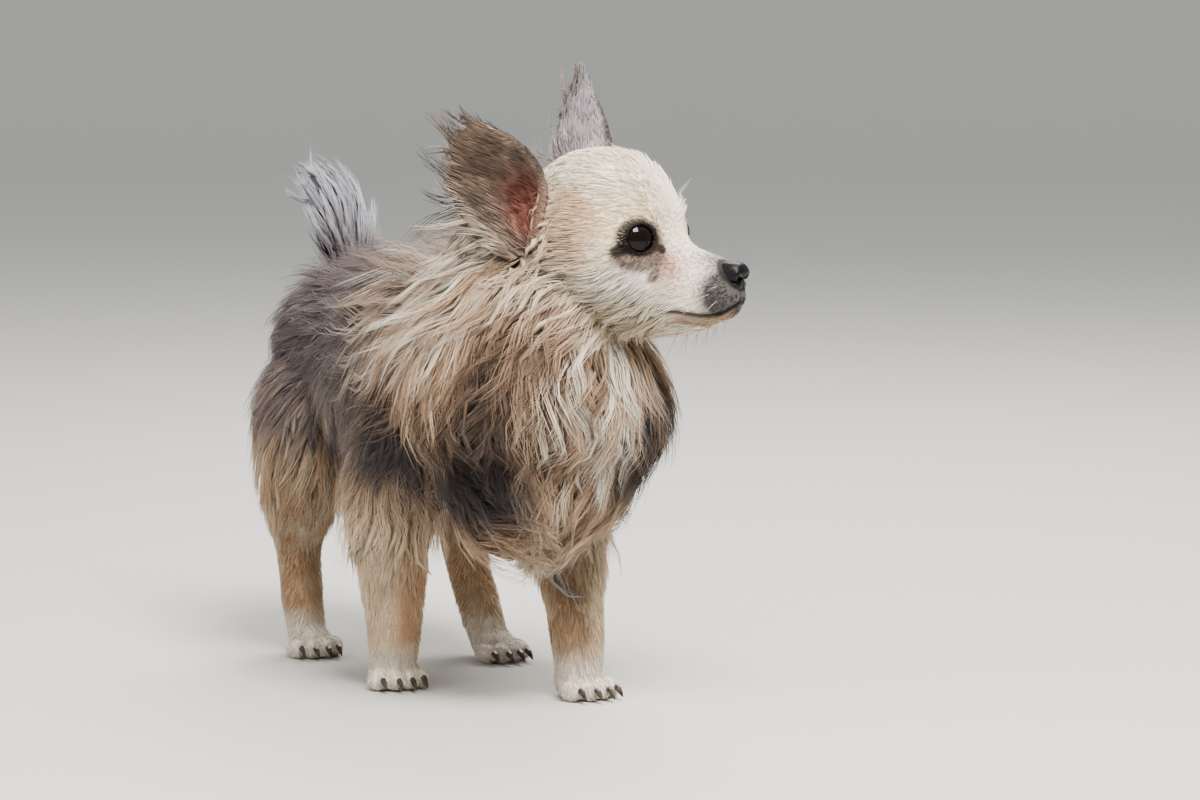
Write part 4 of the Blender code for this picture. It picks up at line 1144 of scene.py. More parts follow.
class Skin:
    """The finished skin's arrays, for rooting the coat on it."""

    def __init__(self, mesh, labels):
        self.points = coordinates(mesh)
        mesh.calc_loop_triangles()
        flat = np.empty(len(mesh.loop_triangles) * 3, dtype=np.int64)
        mesh.loop_triangles.foreach_get("vertices", flat)
        self.triangles = flat.reshape(-1, 3)
        loops = np.empty(len(mesh.loop_triangles) * 3, dtype=np.int64)
        mesh.loop_triangles.foreach_get("loops", loops)
        uv = np.empty(len(mesh.loops) * 2, dtype=np.float32)
        mesh.uv_layers["OFBake"].uv.foreach_get("vector", uv)
        self.uv = uv.reshape(-1, 2)[loops.reshape(-1, 3)]
        self.normals = vertex_normals(mesh)
        self.labels = labels
        self.surface = BVHTree.FromPolygons(self.points.tolist(), self.triangles.tolist())
        a, b, c = (self.points[self.triangles[:, k]] for k in range(3))
        self.areas = np.linalg.norm(np.cross(b - a, c - a), axis=1) / 2

    def scatter(self, count):
        """Random roots spread evenly by area."""
        share = self.areas / self.areas.sum()
        picked = rng.choice(len(share), count, p=share)
        u = rng.random(count)
        v = rng.random(count)
        fold = u + v > 1
        u[fold] = 1 - u[fold]
        v[fold] = 1 - v[fold]
        return self.at(picked, np.stack([1 - u - v, u, v], 1))

    def at(self, picked, weights):
        """Places, normals, labels and map places for weights inside triangles."""
        corners = self.triangles[picked]
        places = (self.points[corners] * weights[:, :, None]).sum(axis=1)
        normals = unit((self.normals[corners] * weights[:, :, None]).sum(axis=1))
        uv = (self.uv[picked] * weights[:, :, None]).sum(axis=1)
        return places, normals, self.labels[corners[:, 0]], uv

    def rooted(self, places):
        """The same for the nearest points to places."""
        points, _, faces = nearest(self.surface, places)
        a, b, c = (self.points[self.triangles[faces, k]] for k in range(3))
        total = np.maximum(np.linalg.norm(np.cross(b - a, c - a), axis=1), 1e-9)
        wa = np.linalg.norm(np.cross(b - points, c - points), axis=1) / total
        wb = np.linalg.norm(np.cross(c - points, a - points), axis=1) / total
        weights = np.stack([wa, wb, np.maximum(1 - wa - wb, 0)], 1)
        return self.at(faces, weights)


def cupped(normals, labels):
    """True where a place on an ear faces into its cup."""
    inside = np.zeros(len(labels), dtype=bool)
    for side, label in ((-1, EAR_RIGHT), (1, EAR_LEFT)):
        facing = np.array(ear_frame(side)[4])
        inside |= (labels == label) & (normals @ facing > 0)
    return inside


def spaced(places, spacing):
    """Indices of places kept so that none is nearer to another than its own spacing."""
    cell = float(spacing.max())
    grid = {}
    kept = []
    around = [(dx, dy, dz) for dx in (-1, 0, 1) for dy in (-1, 0, 1) for dz in (-1, 0, 1)]
    for i, (x, y, z) in enumerate(places.tolist()):
        near = spacing[i] ** 2
        key = (int(x // cell), int(y // cell), int(z // cell))
        close = False
        for dx, dy, dz in around:
            for px, py, pz in grid.get((key[0] + dx, key[1] + dy, key[2] + dz), ()):
                if (px - x) ** 2 + (py - y) ** 2 + (pz - z) ** 2 < near:
                    close = True
                    break
            if close:
                break
        if not close:
            grid.setdefault(key, []).append((x, y, z))
            kept.append(i)
    return np.array(kept)


def guide_paths(skin, roots, steps):
    """Paths that leave the skin, lie along it and rise to their lift, steps + 1 points each."""
    places = roots["places"]
    labels = roots["labels"]
    inside = roots["inside"]
    free = roots["free"]
    count = len(places)
    paths = np.empty((count, steps + 1, 3))
    paths[:, 0] = places
    place = places.copy()
    normal = roots["normals"].copy()
    phase = drift(places, 34.0, 3) * 3.4 + rng.normal(0, 0.35, count)
    bend = rng.normal(0, 0.05, count) + drift(places, 38.0, 5) * 0.22 * roots["wave"]
    turns = roots["length"] / 46 * 2 * math.pi
    first = tangent_part(lie_of(places, labels, inside), normal)
    heading = first.copy()
    for k in range(1, steps + 1):
        t = k / steps
        raw = unit(lie_of(place, labels, inside))
        wanted = unit(tangent_part(raw, normal) * (1 - free)[:, None] + raw * free[:, None])
        heading = heading * 0.4 + wanted * 0.6
        side = np.cross(normal, heading)
        sway = np.sin(phase + t * turns) * roots["wave"] * (0.22 + 0.45 * t) + bend
        step = heading + side * sway[:, None]
        step = unit(tangent_part(step, normal) * (1 - free)[:, None] + unit(step) * free[:, None])
        place = place + step * (roots["length"] / steps)[:, None]
        point, normal_here, _ = nearest(skin.surface, place)
        above = ((place - point) * normal_here).sum(axis=1)
        target = roots["lift"] * t ** 0.8
        hang = np.where(above > target, 0.5, 1.0) * (1 - free)
        place = place + normal_here * ((target - above) * hang)[:, None]
        normal = unit(normal * free[:, None] + normal_here * (1 - free)[:, None])
        paths[:, k] = place
    return paths, first


def tuft_mesh(name, paths, widths, normals, colours, uv, flat):
    """One mesh of tapered, three-sided tufts. paths is count by rows by 3; the last row is the tip."""
    count, rows, _ = paths.shape
    rings = rows - 1
    along = np.empty_like(paths)
    along[:, 1:-1] = paths[:, 2:] - paths[:, :-2]
    along[:, 0] = paths[:, 1] - paths[:, 0]
    along[:, -1] = paths[:, -1] - paths[:, -2]
    along /= np.maximum(np.linalg.norm(along, axis=2), 1e-9)[:, :, None]
    up = normals - along * (normals * along).sum(axis=2)[:, :, None]
    up /= np.maximum(np.linalg.norm(up, axis=2), 1e-6)[:, :, None]
    side = np.cross(along, up)
    t = np.linspace(0, 1, rows)
    shape = np.interp(t, (0, 0.2, 0.55, 0.8, 1), (0.75, 1.0, 0.85, 0.55, 0.0))
    half = widths[:, None] * shape[None, :] / 2
    vertices = np.empty((count, rings * 3 + 1, 3), dtype=np.float32)
    for k, (x, y) in enumerate(((0, flat), (1, -flat * 0.5), (-1, -flat * 0.5))):
        offset = side * (half * x)[:, :, None] + up * (half * 2 * y)[:, :, None]
        vertices[:, k:rings * 3:3] = (paths + offset)[:, :rings]
    vertices[:, -1] = paths[:, -1]
    per = rings * 3 + 1
    quads = []
    for i in range(rings - 1):
        for k in range(3):
            low = i * 3
            nxt = (k + 1) % 3
            quads.append((low + k, low + 3 + k, low + 3 + nxt, low + nxt))
    tips = [((rings - 1) * 3 + k, per - 1, (rings - 1) * 3 + (k + 1) % 3) for k in range(3)]
    tips.append((0, 1, 2))
    start = (np.arange(count) * per)[:, None]
    corners = np.concatenate([(start + np.array(quads).ravel()[None, :]),
                              (start + np.array(tips).ravel()[None, :])], axis=1)
    sizes = np.tile(np.array([4] * len(quads) + [3] * len(tips)), count)
    starts = np.concatenate([[0], np.cumsum(sizes)[:-1]])
    mesh = bpy.data.meshes.new(name)
    mesh.vertices.add(count * per)
    mesh.vertices.foreach_set("co", (vertices * MM).ravel())
    mesh.loops.add(corners.size)
    mesh.loops.foreach_set("vertex_index", corners.astype(np.int32).ravel())
    mesh.polygons.add(len(sizes))
    mesh.polygons.foreach_set("loop_start", starts.astype(np.int32))
    mesh.polygons.foreach_set("use_smooth", np.ones(len(sizes), dtype=bool))
    mesh.update(calc_edges=True)

    row_of = np.append(np.repeat(np.arange(rings), 3), rings)
    rgba = np.ones((count, per, 4), dtype=np.float32)
    rgba[:, :, :3] = np.clip(colours[:, row_of, :], 0.003, 1)
    layer = mesh.color_attributes.new("coat", "FLOAT_COLOR", "POINT")
    layer.data.foreach_set("color", rgba.ravel())
    mesh.color_attributes.active_color = layer
    grain = np.empty((count, per, 3), dtype=np.float32)
    grain[:, :, 0] = np.append(np.tile((0.0, 1.0, -1.0), rings), 0.0)[None, :] * widths[:, None]
    grain[:, :, 1] = row_of[None, :] / rings
    grain[:, :, 2] = np.random.default_rng(count).random(count)[:, None] * 60
    mesh.attributes.new("grain", "FLOAT_VECTOR", "POINT").data.foreach_set("vector", grain.ravel())

    around = np.append(np.tile(np.arange(3), rings), 1)
    local = np.stack([(around - 1) * 0.00075, (row_of / rings - 0.5) * 0.003], 1)
    spread = (uv[:, None, :] + local[None, :, :]).reshape(-1, 2)
    uv_layer = mesh.uv_layers.new(name="OFBake")
    uv_layer.uv.foreach_set("vector", spread[corners.ravel()].astype(np.float32).ravel())
    made = bpy.data.objects.new(name, mesh)
    bpy.context.scene.collection.objects.link(made)
    return made


def tuft_colours(tufts, root_shade, spread):
    """Colour of every row of every tuft: the markings where it lies, with painted shade deepest at the root that
    eases to a touch lighter than the markings at the tip.
    """
    paths = tufts["paths"]
    count, rows, _ = paths.shape
    colours = np.empty((count, rows, 3))
    tone = 1 + rng.normal(0, spread, count)
    carry = np.where(tufts["labels"] == HEAD_SKIN, 1.0, 0.6)[:, None]
    for k in range(rows):
        t = k / (rows - 1)
        marked = paths[:, 0] + (paths[:, k] - paths[:, 0]) * carry
        base = markings(marked, tufts["labels"], tufts["inside"], tufts["chance"])
        # painted shade: each tuft darker toward its root, where the coat above shades it, and slightly lighter at
        # its tip
        shade = root_shade + (1.06 - root_shade) * min(t * 1.6, 1)
        colours[:, k] = base * (shade * tone)[:, None]
    return colours


def grow(skin, roots, children, rows):
    """Tufts round each guide: paths and the arrays that tuft_mesh needs."""
    guides, first = guide_paths(skin, roots, rows - 1)
    count = len(guides)
    index = np.repeat(np.arange(count), children)
    radius = roots["spread"][index] * np.sqrt(rng.random(len(index)))
    angle = rng.random(len(index)) * 2 * math.pi
    normal = roots["normals"][index]
    along = first[index]
    across = np.cross(normal, along)
    offset = (along * np.cos(angle)[:, None] + across * np.sin(angle)[:, None]) * radius[:, None]
    places, normals, labels, uv = skin.rooted(roots["places"][index] + offset)
    offset = places - roots["places"][index]
    t = np.linspace(0, 1, rows)
    gather = 1 - roots["clump"][index][:, None] * t[None, :] ** 1.3
    stretch = 1 + rng.normal(0, 0.10, len(index))
    stray = np.where(rng.random(len(index)) < 0.10, 2.6, 1.0)
    frizz = roots["frizz"][index]
    shape = guides[index] - guides[index][:, :1]
    paths = guides[index][:, :1] + shape * stretch[:, None, None] + offset[:, None, :] * gather[:, :, None]
    loose = rng.normal(0, 1, (len(index), 2)) * (frizz * stray)[:, None]
    swing = np.sin(rng.random(len(index))[:, None] * 6.28 + t[None, :] * 7.0) * t[None, :]
    sideways = loose[:, :1] * t[None, :] ** 1.2 + swing * frizz[:, None] * 0.6
    paths += across[:, None, :] * sideways[:, :, None]
    paths += normal[:, None, :] * (loose[:, 1:] * 0.45 * t[None, :] ** 1.4)[:, :, None]
    facings = np.repeat(normals[:, None], rows, axis=1)
    for k in range(1, rows):
        point, normal_here, _ = nearest(skin.surface, paths[:, k])
        above = ((paths[:, k] - point) * normal_here).sum(axis=1)
        short = np.maximum(0.25 + 0.15 * k - above, 0)
        paths[:, k] += normal_here * short[:, None]
        facings[:, k] = unit(facings[:, k - 1] * 0.4 + normal_here * 0.6)
    paths[:, 0] -= normals * 0.4
    chance = np.clip(roots["chance"][index] + rng.normal(0, 0.07, len(index)), 0, 1)
    return {"paths": paths, "normals": facings, "labels": roots["labels"][index], "uv": uv,
            "inside": roots["inside"][index], "chance": chance,
            "width": roots["width"][index] * rng.uniform(0.7, 1.3, len(index))}


def kept_inside(paths, low, high):
    """Shortens the tufts that would pass the solids' own box."""
    root = np.clip(paths[:, :1], low, high)
    away = paths - root
    room = np.where(away > 0, high - root, root - low)
    share = np.where(np.abs(away) > room, room / np.maximum(np.abs(away), 1e-9), 1.0)
    return root + away * share.min(axis=(1, 2))[:, None, None]


# materials

def shader_material(name, roughness, attribute=None, colour=(0.5, 0.5, 0.5), **extra):
    """A Principled material, coloured by a vertex colour where attribute names one."""
    material = bpy.data.materials.new(name)
    material.use_nodes = True
    nodes = material.node_tree.nodes
    shader = nodes["Principled BSDF"]
    shader.inputs["Roughness"].default_value = roughness
    shader.inputs["Base Color"].default_value = (*colour, 1)
    for key, value in extra.items():
        shader.inputs[key.replace("_", " ")].default_value = value
    if attribute:
        source = nodes.new("ShaderNodeVertexColor")
        source.layer_name = attribute
        material.node_tree.links.new(source.outputs["Color"], shader.inputs["Base Color"])
    return material


def lock_material():
    """Fur of the wider locks: fine lines of hair run along each, and the same lines darken the locks overall as
    painted shade of the coat's lower layer.
    """
    material = shader_material("fur_locks", 0.55, "coat", Specular_IOR_Level=0.3, Sheen_Weight=0.15)
    nodes = material.node_tree.nodes
    links = material.node_tree.links
    shader = nodes["Principled BSDF"]
    grain = nodes.new("ShaderNodeAttribute")
    grain.attribute_name = "grain"
    scaled = nodes.new("ShaderNodeVectorMath")
    scaled.operation = "MULTIPLY"
    scaled.inputs[1].default_value = (2.1, 1.2, 1.0)
    lines = nodes.new("ShaderNodeTexNoise")
    lines.inputs["Scale"].default_value = 1.0
    lines.inputs["Detail"].default_value = 1.0
    # the lines of hair, mapped mostly below 1, also darken the locks as painted shade
    shade = nodes.new("ShaderNodeMapRange")
    shade.inputs["From Min"].default_value = 0.32
    shade.inputs["From Max"].default_value = 0.68
    shade.inputs["To Min"].default_value = 0.30
    shade.inputs["To Max"].default_value = 1.05
    product = nodes.new("ShaderNodeMix")
    product.data_type = "RGBA"
    product.blend_type = "MULTIPLY"
    product.inputs["Factor"].default_value = 1.0
    source = shader.inputs["Base Color"].links[0].from_socket
    bump = nodes.new("ShaderNodeBump")
    bump.inputs["Strength"].default_value = 0.6
    bump.inputs["Distance"].default_value = 0.0003
    links.new(grain.outputs["Vector"], scaled.inputs[0])
    links.new(scaled.outputs["Vector"], lines.inputs["Vector"])
    links.new(lines.outputs[0], shade.inputs["Value"])
    links.new(source, product.inputs["A"])
    links.new(shade.outputs["Result"], product.inputs["B"])
    links.new(product.outputs["Result"], shader.inputs["Base Color"])
    links.new(lines.outputs[0], bump.inputs["Height"])
    links.new(bump.outputs["Normal"], shader.inputs["Normal"])
    return material


def horn_material():
    """Dark horn, streaked and a little paler in places."""
    material = shader_material("horn", 0.35)
    nodes = material.node_tree.nodes
    links = material.node_tree.links
    place = nodes.new("ShaderNodeTexCoord")
    streaks = nodes.new("ShaderNodeTexNoise")
    streaks.inputs["Scale"].default_value = 700
    ramp = nodes.new("ShaderNodeValToRGB")
    ramp.color_ramp.elements[0].position = 0.35
    ramp.color_ramp.elements[0].color = (0.030, 0.024, 0.021, 1)
    ramp.color_ramp.elements[1].position = 0.75
    ramp.color_ramp.elements[1].color = (0.15, 0.115, 0.09, 1)
    links.new(place.outputs["Object"], streaks.inputs["Vector"])
    links.new(streaks.outputs[0], ramp.inputs["Fac"])
    links.new(ramp.outputs["Color"], nodes["Principled BSDF"].inputs["Base Color"])
    return material


def add_bump(material, scale, strength, distance, texture="ShaderNodeTexNoise"):
    """A fine bump from a procedural texture."""
    nodes = material.node_tree.nodes
    links = material.node_tree.links
    coordinate = nodes.new("ShaderNodeTexCoord")
    pattern = nodes.new(texture)
    pattern.inputs["Scale"].default_value = scale
    bump = nodes.new("ShaderNodeBump")
    bump.inputs["Strength"].default_value = strength
    bump.inputs["Distance"].default_value = distance
    links.new(coordinate.outputs["Object"], pattern.inputs["Vector"])
    links.new(pattern.outputs[0], bump.inputs["Height"])
    links.new(bump.outputs["Normal"], nodes["Principled BSDF"].inputs["Normal"])


def paint_points(mesh, colours):
    """Writes a colour for each vertex."""
    rgba = np.ones((len(mesh.vertices), 4), dtype=np.float32)
    rgba[:, :3] = np.clip(colours, 0.003, 1)
    layer = mesh.color_attributes.new("coat", "FLOAT_COLOR", "POINT")
    layer.data.foreach_set("color", rgba.ravel())


def placed(target, shift):
    """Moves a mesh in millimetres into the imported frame."""
    points = coordinates(target.data) * MM + np.array(shift)
    set_coordinates(target.data, points)
    target.data.polygons.foreach_set("use_smooth", np.ones(len(target.data.polygons), dtype=bool))


# eyes, nose, whiskers

def build_eye(side, shift):
    """A dark, wet eyeball with a brown iris that shows at its rim."""
    points, faces = ball(eye_middle(side), (EYE_RADIUS,) * 3, 64, 40, eye_turn(side))
    eye = new_object("eyeball_right" if side < 0 else "eyeball_left", points, faces)
    turn = np.array(eye_turn(side))
    local = (coordinates(eye.data) - np.array(eye_middle(side))) @ turn
    bulge = ease(local[:, 0], EYE_RADIUS * 0.55, EYE_RADIUS)
    moved = coordinates(eye.data) + np.outer(bulge * 0.35, turn[:, 0])
    set_coordinates(eye.data, moved)
    off = np.hypot(local[:, 1], local[:, 2])
    colours = np.tile(np.array((0.010, 0.007, 0.006)), (len(moved), 1))
    iris = ease(off, 4.2, 5.4) * (1 - ease(off, 7.0, 8.2))
    colours = mix(colours, iris * 0.75, (0.016, 0.008, 0.006))
    colours = mix(colours, 1 - ease(local[:, 0], -2, 3), (0.5, 0.42, 0.38))
    paint_points(eye.data, colours)
    eye.data.materials.append(shader_material("wet_" + eye.name, 0.05, "coat", Specular_IOR_Level=0.28))
    placed(eye, shift)
    return eye


def build_nose(shift):
    """The nose leather with nostrils, their side slits and the groove between them."""
    rows = []
    for ahead, grow_by in ((-6.5, 0.72), (-3, 0.92), (1.5, 1.0), (5, 0.9), (7, 0.62)):
        place = head_place(NOSE_AT[0] + ahead, 0, NOSE_AT[1] - 0.15 * ahead)
        rows.append((*place, NOSE_HALF_WIDTH * grow_by, 7.2 * grow_by, 7.8 * grow_by))
    points, faces = loft(rows, (0, 0, 1), 60, 96, 2.5, 0.12)
    nose = new_object("nose_leather", points, faces)
    places = coordinates(nose.data)
    local = head_coordinates(places) - np.array((NOSE_AT[0], 0, NOSE_AT[1]))
    front = ease(local[:, 0], 1.0, 5.5)
    pull = np.zeros(len(places))
    for side in (-1, 1):
        pull += 3.6 * blob(local[:, 1:], (side * 3.7, -1.6), (1.35, 1.9)) * front
        pull += 1.6 * blob(local, (4.4, side * 6.2, -3.0), (3.4, 2.2, 0.75))
        pull -= 0.5 * blob(local[:, 1:], (side * 5.6, 0.6), (1.3, 2.6)) * front
    pull += 0.8 * np.exp(-(local[:, 1] / 0.55) ** 2) * front * (1 - ease(local[:, 2], -1, 2))
    normals = vertex_normals(nose.data)
    moved = places - normals * pull[:, None]
    ahead_axis = np.array(head_turn())[:, 0]
    moved -= np.outer(pull * 0.35 * front, ahead_axis)
    set_coordinates(nose.data, moved)
    colours = np.tile(np.array((0.010, 0.009, 0.012)), (len(moved), 1))
    # painted shade: darker in the nostrils, their side slits and the groove
    colours = mix(colours, np.clip(pull / 2.0, 0, 1), (0.004, 0.003, 0.003))
    paint_points(nose.data, colours)
    material = shader_material("nose_wet", 0.36, "coat", Specular_IOR_Level=0.3)
    add_bump(material, 1500, 0.3, 0.0004, "ShaderNodeTexVoronoi")
    nose.data.materials.append(material)
    placed(nose, shift)
    return nose


def build_whiskers(skin, shift):
    """Whiskers on the muzzle, under the chin and over the eyes."""
    rows = []
    for side in (-1, 1):
        for line in range(3):
            for k in range(5):
                place = head_place(72 - 4.4 * k, side * 14, -30 - 4.0 * line - 0.5 * k)
                way = (-0.30 - 0.14 * k, side, -0.10 - 0.17 * line + 0.05 * k)
                rows.append((place, way, 9 + 3.0 * k, (line + k) % 2))
        for k in range(5):
            rows.append((head_place(70 - 6 * k, side * 5, -55), (-0.35, side * 0.4, -0.9), 8 + 1.6 * k, 1))
        for k in range(3):
            rows.append((head_place(37 - 3 * k, side * (12 + 4 * k), 9), (0.35, side * 0.4, 0.8), 13, 0))
    places = np.array([row[0] for row in rows])
    ways = unit(np.array([row[1] for row in rows])) @ np.array(head_turn()).T
    lengths = np.array([row[2] for row in rows]) * rng.uniform(0.8, 1.2, len(rows))
    places, normals, _, uv = skin.rooted(places)
    t = np.linspace(0, 1, 7)
    reach = lengths[:, None] * t[None, :] - 0.4
    paths = places[:, None, :] + ways[:, None, :] * reach[:, :, None]
    paths[:, :, 2] -= (lengths[:, None] * t[None, :] ** 2) * rng.uniform(0.02, 0.22, len(rows))[:, None]
    dark = np.array([row[3] for row in rows])[:, None, None]
    tones = np.where(dark > 0, np.array((0.03, 0.024, 0.024)), np.array(WHITE)) * np.ones((len(rows), 7, 1))
    facings = np.repeat(normals[:, None], 7, axis=1)
    made = tuft_mesh("whiskers", paths, np.full(len(rows), 0.18), facings, tones, uv, 0.5)
    made.data.materials.append(shader_material("whisker", 0.35, "coat"))
    set_coordinates(made.data, coordinates(made.data) + np.array(shift))
    return made


def main():
    """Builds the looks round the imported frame."""
    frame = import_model()
    cad_low, cad_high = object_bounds()
    low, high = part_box("eye_left")
    shift = (Vector(low) + Vector(high)) / 2 - eye_middle(1) * MM
    skin_object, labels = build_skin()
    skin_mesh = skin_object.data
    print("skin", len(skin_mesh.polygons))

    bpy.context.view_layer.objects.active = skin_object
    skin_object.select_set(True)
    skin_mesh.uv_layers.new(name="OFBake")
    bpy.ops.object.mode_set(mode="EDIT")
    bpy.ops.mesh.select_all(action="SELECT")
    bpy.ops.uv.smart_project(angle_limit=math.radians(66), island_margin=0.002)
    bpy.ops.object.mode_set(mode="OBJECT")
    skin = Skin(skin_mesh, labels)

    names = {HEAD_SKIN: "face", EAR_RIGHT: "ear_right", EAR_LEFT: "ear_left", NECK_SKIN: "ruff",
             TORSO_SKIN: "back", TAIL_SKIN: "plume", 6: "foreleg_right", 7: "foreleg_left",
             8: "hindleg_right", 9: "hindleg_left"}
    box_low = (np.array(cad_low) - np.array(shift)) / MM
    box_high = (np.array(cad_high) - np.array(shift)) / MM
    margin = (box_high - box_low) * 0.018
    box_low -= margin
    box_high += margin
    box_low[2] = 0.3

    places, normals, place_labels, uv = skin.scatter(420000)
    inside = cupped(normals, place_labels)
    length, lift, wave, free = coat_of(places, place_labels, inside)
    chance = np.clip(0.5 + 0.34 * drift(places, 13.0, 11) + 0.13 * rng.normal(0, 1, len(places)), 0, 1)
    relief = 0.85 + 0.35 * drift(places, 17.0, 23)
    allowed = coat_allowed(places, place_labels, inside)
    made = []
    fur = shader_material("fur", 0.55, "coat", Specular_IOR_Level=0.3, Sheen_Weight=0.15)
    hair_lines = lock_material()
    for row in COATS:
        kind, low_length, high_length, spacing, children, rows, spread, clump, frizz, width, flat, root, vary = row
        ears = (place_labels == EAR_RIGHT) | (place_labels == EAR_LEFT)
        chest_tip = (place_labels == NECK_SKIN) & (places[:, 2] < 84)
        wanted = allowed & ~ears & ~chest_tip if kind == "lock" else allowed
        pool = np.nonzero((length >= low_length) & (length < high_length) & wanted)[0]
        gap = np.full(len(pool), spacing * (1.0))
        kept = pool[spaced(places[pool], gap)]
        count = len(kept)
        roots = {"places": places[kept], "normals": normals[kept], "labels": place_labels[kept],
                 "inside": inside[kept], "length": length[kept] * rng.uniform(0.78, 1.15, count),
                 "lift": lift[kept] * relief[kept] * rng.uniform(0.75, 1.05, count) * (0.5 if kind == "lock" else 1),
                 "wave": wave[kept],
                 "free": free[kept], "chance": chance[kept], "spread": np.full(count, spread),
                 "clump": clump * rng.uniform(0.5, 1.25, count) * (1 - 0.5 * ears[kept]), "frizz": frizz * rng.uniform(0.5, 1.4, count),
                 "width": np.full(count, width)}
        tufts = grow(skin, roots, children, rows)
        tufts["paths"] = kept_inside(tufts["paths"], box_low, box_high)
        colours = tuft_colours(tufts, root, vary)
        triangles = (rows - 2) * 6 + 4
        print("coat", kind, count, len(colours), len(colours) * triangles)
        for label, stem in names.items():
            here = np.nonzero(tufts["labels"] == label)[0]
            limit = 190000 // triangles
            for part in range(math.ceil(len(here) / limit)):
                some = here[part * limit:(part + 1) * limit]
                coat = tuft_mesh(f"coat_{stem}_{kind}_{part + 1}", tufts["paths"][some], tufts["width"][some],
                                 tufts["normals"][some], colours[some], tufts["uv"][some], flat)
                coat.data.materials.append(hair_lines if kind == "lock" else fur)
                set_coordinates(coat.data, coordinates(coat.data) + np.array(shift))
                made.append(coat)

    skin_inside = cupped(skin.normals, labels)
    skin_colours = markings(skin.points, labels, skin_inside, np.full(len(skin.points), 0.38))
    length, _, _, _ = coat_of(skin.points, labels, skin_inside)
    # painted shade: skin darker where longer coat covers it
    skin_colours *= (1.0 - 0.5 * ease(length, 6, 22))[:, None]
    skin_colours = bare_skin(skin.points, labels, skin_colours)
    paint_points(skin_mesh, skin_colours)
    skin_material = shader_material("skin_and_short_fur", 0.7, "coat", Specular_IOR_Level=0.2)
    add_bump(skin_material, 900, 0.4, 0.0006)
    skin_mesh.materials.append(skin_material)
    placed(skin_object, shift)
    skin_object.data.polygons.foreach_set("use_smooth", np.ones(len(skin_mesh.polygons), dtype=bool))
    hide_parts("head", "neck", "torso", "tail", "ear_right", "ear_left",
                "foreleg_right", "foreleg_left", "hindleg_right", "hindleg_left")
    made.append(skin_object)

    for side, node in ((-1, "eye_right"), (1, "eye_left")):
        eye = build_eye(side, shift)
        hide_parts(node)
        made.append(eye)
    whiskers = build_whiskers(skin, shift)
    made.append(whiskers)
    nose = build_nose(shift)
    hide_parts("nose")
    made.append(nose)

    horn = horn_material()
    for name, node in frame["nodes"].items():
        if name.startswith("claw"):
            node.data.materials.clear()
            node.data.materials.append(horn)

    for piece in made:
        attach(piece, "root")
    stage(shift)
    low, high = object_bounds()


# name, shortest and longest coat in mm, spacing of the guides, tufts a guide, points a tuft, spread, clump,
# frizz, width, flatness, shade at the root, and variation of the shade
COATS = (
    ("short", 0.0, 7.0, 1.20, 2, 3, 0.9, 0.10, 0.12, 0.38, 0.50, 0.94, 0.05),
    ("middle", 7.0, 19.0, 2.3, 5, 4, 1.7, 0.40, 0.35, 0.38, 0.45, 0.84, 0.06),
    ("lock", 19.0, 99.0, 4.7, 1, 6, 1.2, 0.10, 0.4, 4.6, 0.07, 0.42, 0.05),
    ("fine", 19.0, 99.0, 4.9, 10, 6, 3.6, 0.70, 1.1, 0.33, 0.50, 0.74, 0.07),
)


def coat_allowed(places, labels, inside):
    """False where the skin is bare: the lids' rims, the pink of the ears, the mouth, the soles, the leather."""
    local = head_coordinates(places)
    allowed = places[:, 2] > 1.5
    head = labels == HEAD_SKIN
    for side in (-1, 1):
        away = places - np.array(eye_middle(side))
        allowed &= np.linalg.norm(away, axis=1) > EYE_RADIUS + LID_THICKNESS - 0.1
    nose = local - np.array((NOSE_AT[0], 0, NOSE_AT[1]))
    allowed &= ~((np.abs(nose[:, 1]) < 8.4) & (np.abs(nose[:, 2]) < 8.8) & (nose[:, 0] > -4.5))
    allowed &= ~(head & (lip_share(local) > 0.35))
    for side, label in ((-1, EAR_RIGHT), (1, EAR_LEFT)):
        t, rear, _ = ear_coordinates(places, side)
        pink = blob(np.stack([t, rear], 1), (0.27, -0.32), (0.22, 0.55)) > 0.4
        bare = pink & inside & (labels == label) & (rng.random(len(places)) > 0.12)
        allowed &= ~bare
    return allowed


def lip_share(local):
    """1 on the line of the mouth, 0 away from it."""
    turn = np.abs(np.arctan2(local[:, 1], local[:, 0] - MOUTH_HINGE))
    share = np.clip(turn / math.radians(MOUTH_TURN), 0, 1)
    width = 1.2 + 1.1 * ease(share, 0.25, 0.55) * (1 - ease(share, 0.75, 1.0))
    lips = np.exp(-((local[:, 2] - mouth_height(local)) / width) ** 2) * (turn < math.radians(MOUTH_TURN))
    return lips * ease(local[:, 0], 28, 36)


def bare_skin(places, labels, colours):
    """The dark rims of the lids, the nose's edge and the line of the mouth."""
    local = head_coordinates(places)
    head = labels == HEAD_SKIN
    for side in (-1, 1):
        away = np.linalg.norm(places - np.array(eye_middle(side)), axis=1)
        rim = (1 - ease(away, EYE_RADIUS + 1.2, EYE_RADIUS + 2.2)) * head
        colours = mix(colours, rim, BLACK)
    nose = local - np.array((NOSE_AT[0] - 1, 0, NOSE_AT[1]))
    ring = (1 - ease(np.linalg.norm(nose * [0.8, 1, 1], axis=1), 8.4, 10.0)) * head
    colours = mix(colours, ring * 0.9, BLACK)
    return mix(colours, lip_share(local) * head * 0.92, (0.055, 0.030, 0.024))


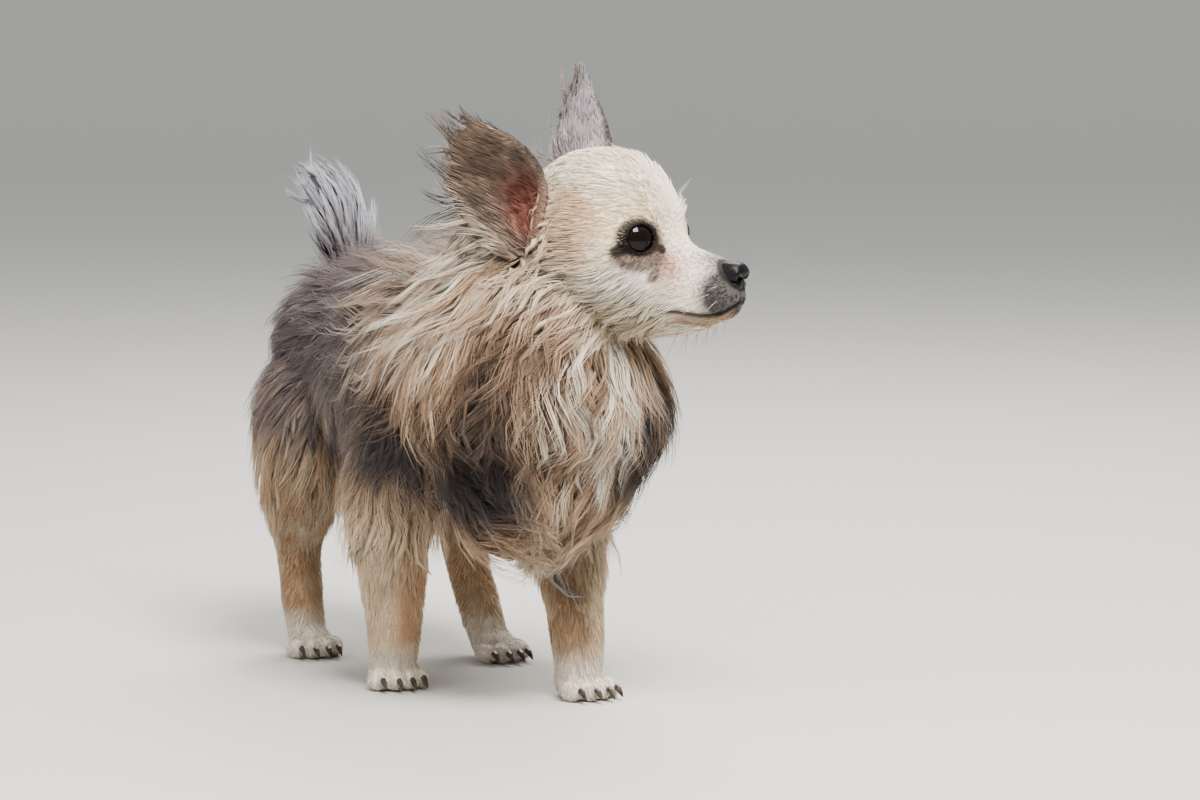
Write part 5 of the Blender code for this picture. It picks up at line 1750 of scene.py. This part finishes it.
def stage(shift):
    """Floor, light and the camera at the photo's angle and framing."""
    profile = [(0.02, 0.0), (1.0, 0.0), (3.4, 0.0)]
    for k in range(1, 13):
        angle = math.pi / 2 * k / 12
        profile.append((3.4 + 1.8 * math.sin(angle), 1.8 * (1 - math.cos(angle))))
    profile.append((5.2, 4.5))
    rings = []
    for reach, height in profile:
        turns = [2 * math.pi * k / 96 for k in range(96)]
        rings.append([(reach * math.cos(turn), reach * math.sin(turn), height) for turn in turns])
    points = [point for ring in rings for point in ring]
    faces = [tuple(range(96))]
    for i in range(len(rings) - 1):
        for k in range(96):
            nxt = (k + 1) % 96
            faces.append((i * 96 + k, i * 96 + 96 + k, i * 96 + 96 + nxt, i * 96 + nxt))
    floor = bpy.data.objects.new("floor", bpy.data.meshes.new("floor"))
    bpy.context.scene.collection.objects.link(floor)
    floor.data.from_pydata(points, [], faces)
    floor.data.polygons.foreach_set("use_smooth", np.ones(len(faces), dtype=bool))
    floor.data.materials.append(shader_material("floor_paper", 0.9, colour=(0.66, 0.66, 0.64)))
    floor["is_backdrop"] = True

    world = bpy.data.worlds.new("studio")
    bpy.context.scene.world = world
    world.use_nodes = True
    world.node_tree.nodes["Background"].inputs["Color"].default_value = (0.94, 0.96, 1.0, 1)
    world.node_tree.nodes["Background"].inputs["Strength"].default_value = 0.62
    middle = Vector((0, 0, 0.17))
    for name, azimuth_step, elevation, distance, width, power in (
            ("key", 22, 56, 1.6, 0.7, 45), ("fill", -55, 30, 1.9, 1.4, 8), ("rim", 165, 48, 1.5, 0.8, 16)):
        lamp = bpy.data.lights.new(name, "AREA")
        lamp.size = width
        lamp.energy = power
        lamp.color = (1.0, 0.95, 0.88)
        turn = math.radians(VIEW_AZIMUTH + azimuth_step)
        rise = math.radians(elevation)
        back = Vector((math.sin(turn) * math.cos(rise), -math.cos(turn) * math.cos(rise), math.sin(rise)))
        light = bpy.data.objects.new(name, lamp)
        light.location = middle + back * distance
        light.rotation_euler = (-back).to_track_quat("-Z", "Y").to_euler()
        bpy.context.scene.collection.objects.link(light)

    camera = bpy.data.objects.new("camera", bpy.data.cameras.new("camera"))
    bpy.context.scene.collection.objects.link(camera)
    azimuth = math.radians(VIEW_AZIMUTH)
    rise = math.radians(VIEW_ELEVATION)
    back = Vector((math.sin(azimuth) * math.cos(rise), -math.cos(azimuth) * math.cos(rise), math.sin(rise)))
    camera.location = Vector(VIEW_TARGET) * MM + Vector(shift) + back * VIEW_DISTANCE * MM
    camera.rotation_euler = (-back).to_track_quat("-Z", "Y").to_euler()
    camera.data.lens = LENS
    camera.data.clip_end = 50
    bpy.context.scene.camera = camera
    bpy.context.scene.view_settings.look = "AgX - Medium High Contrast"


main()
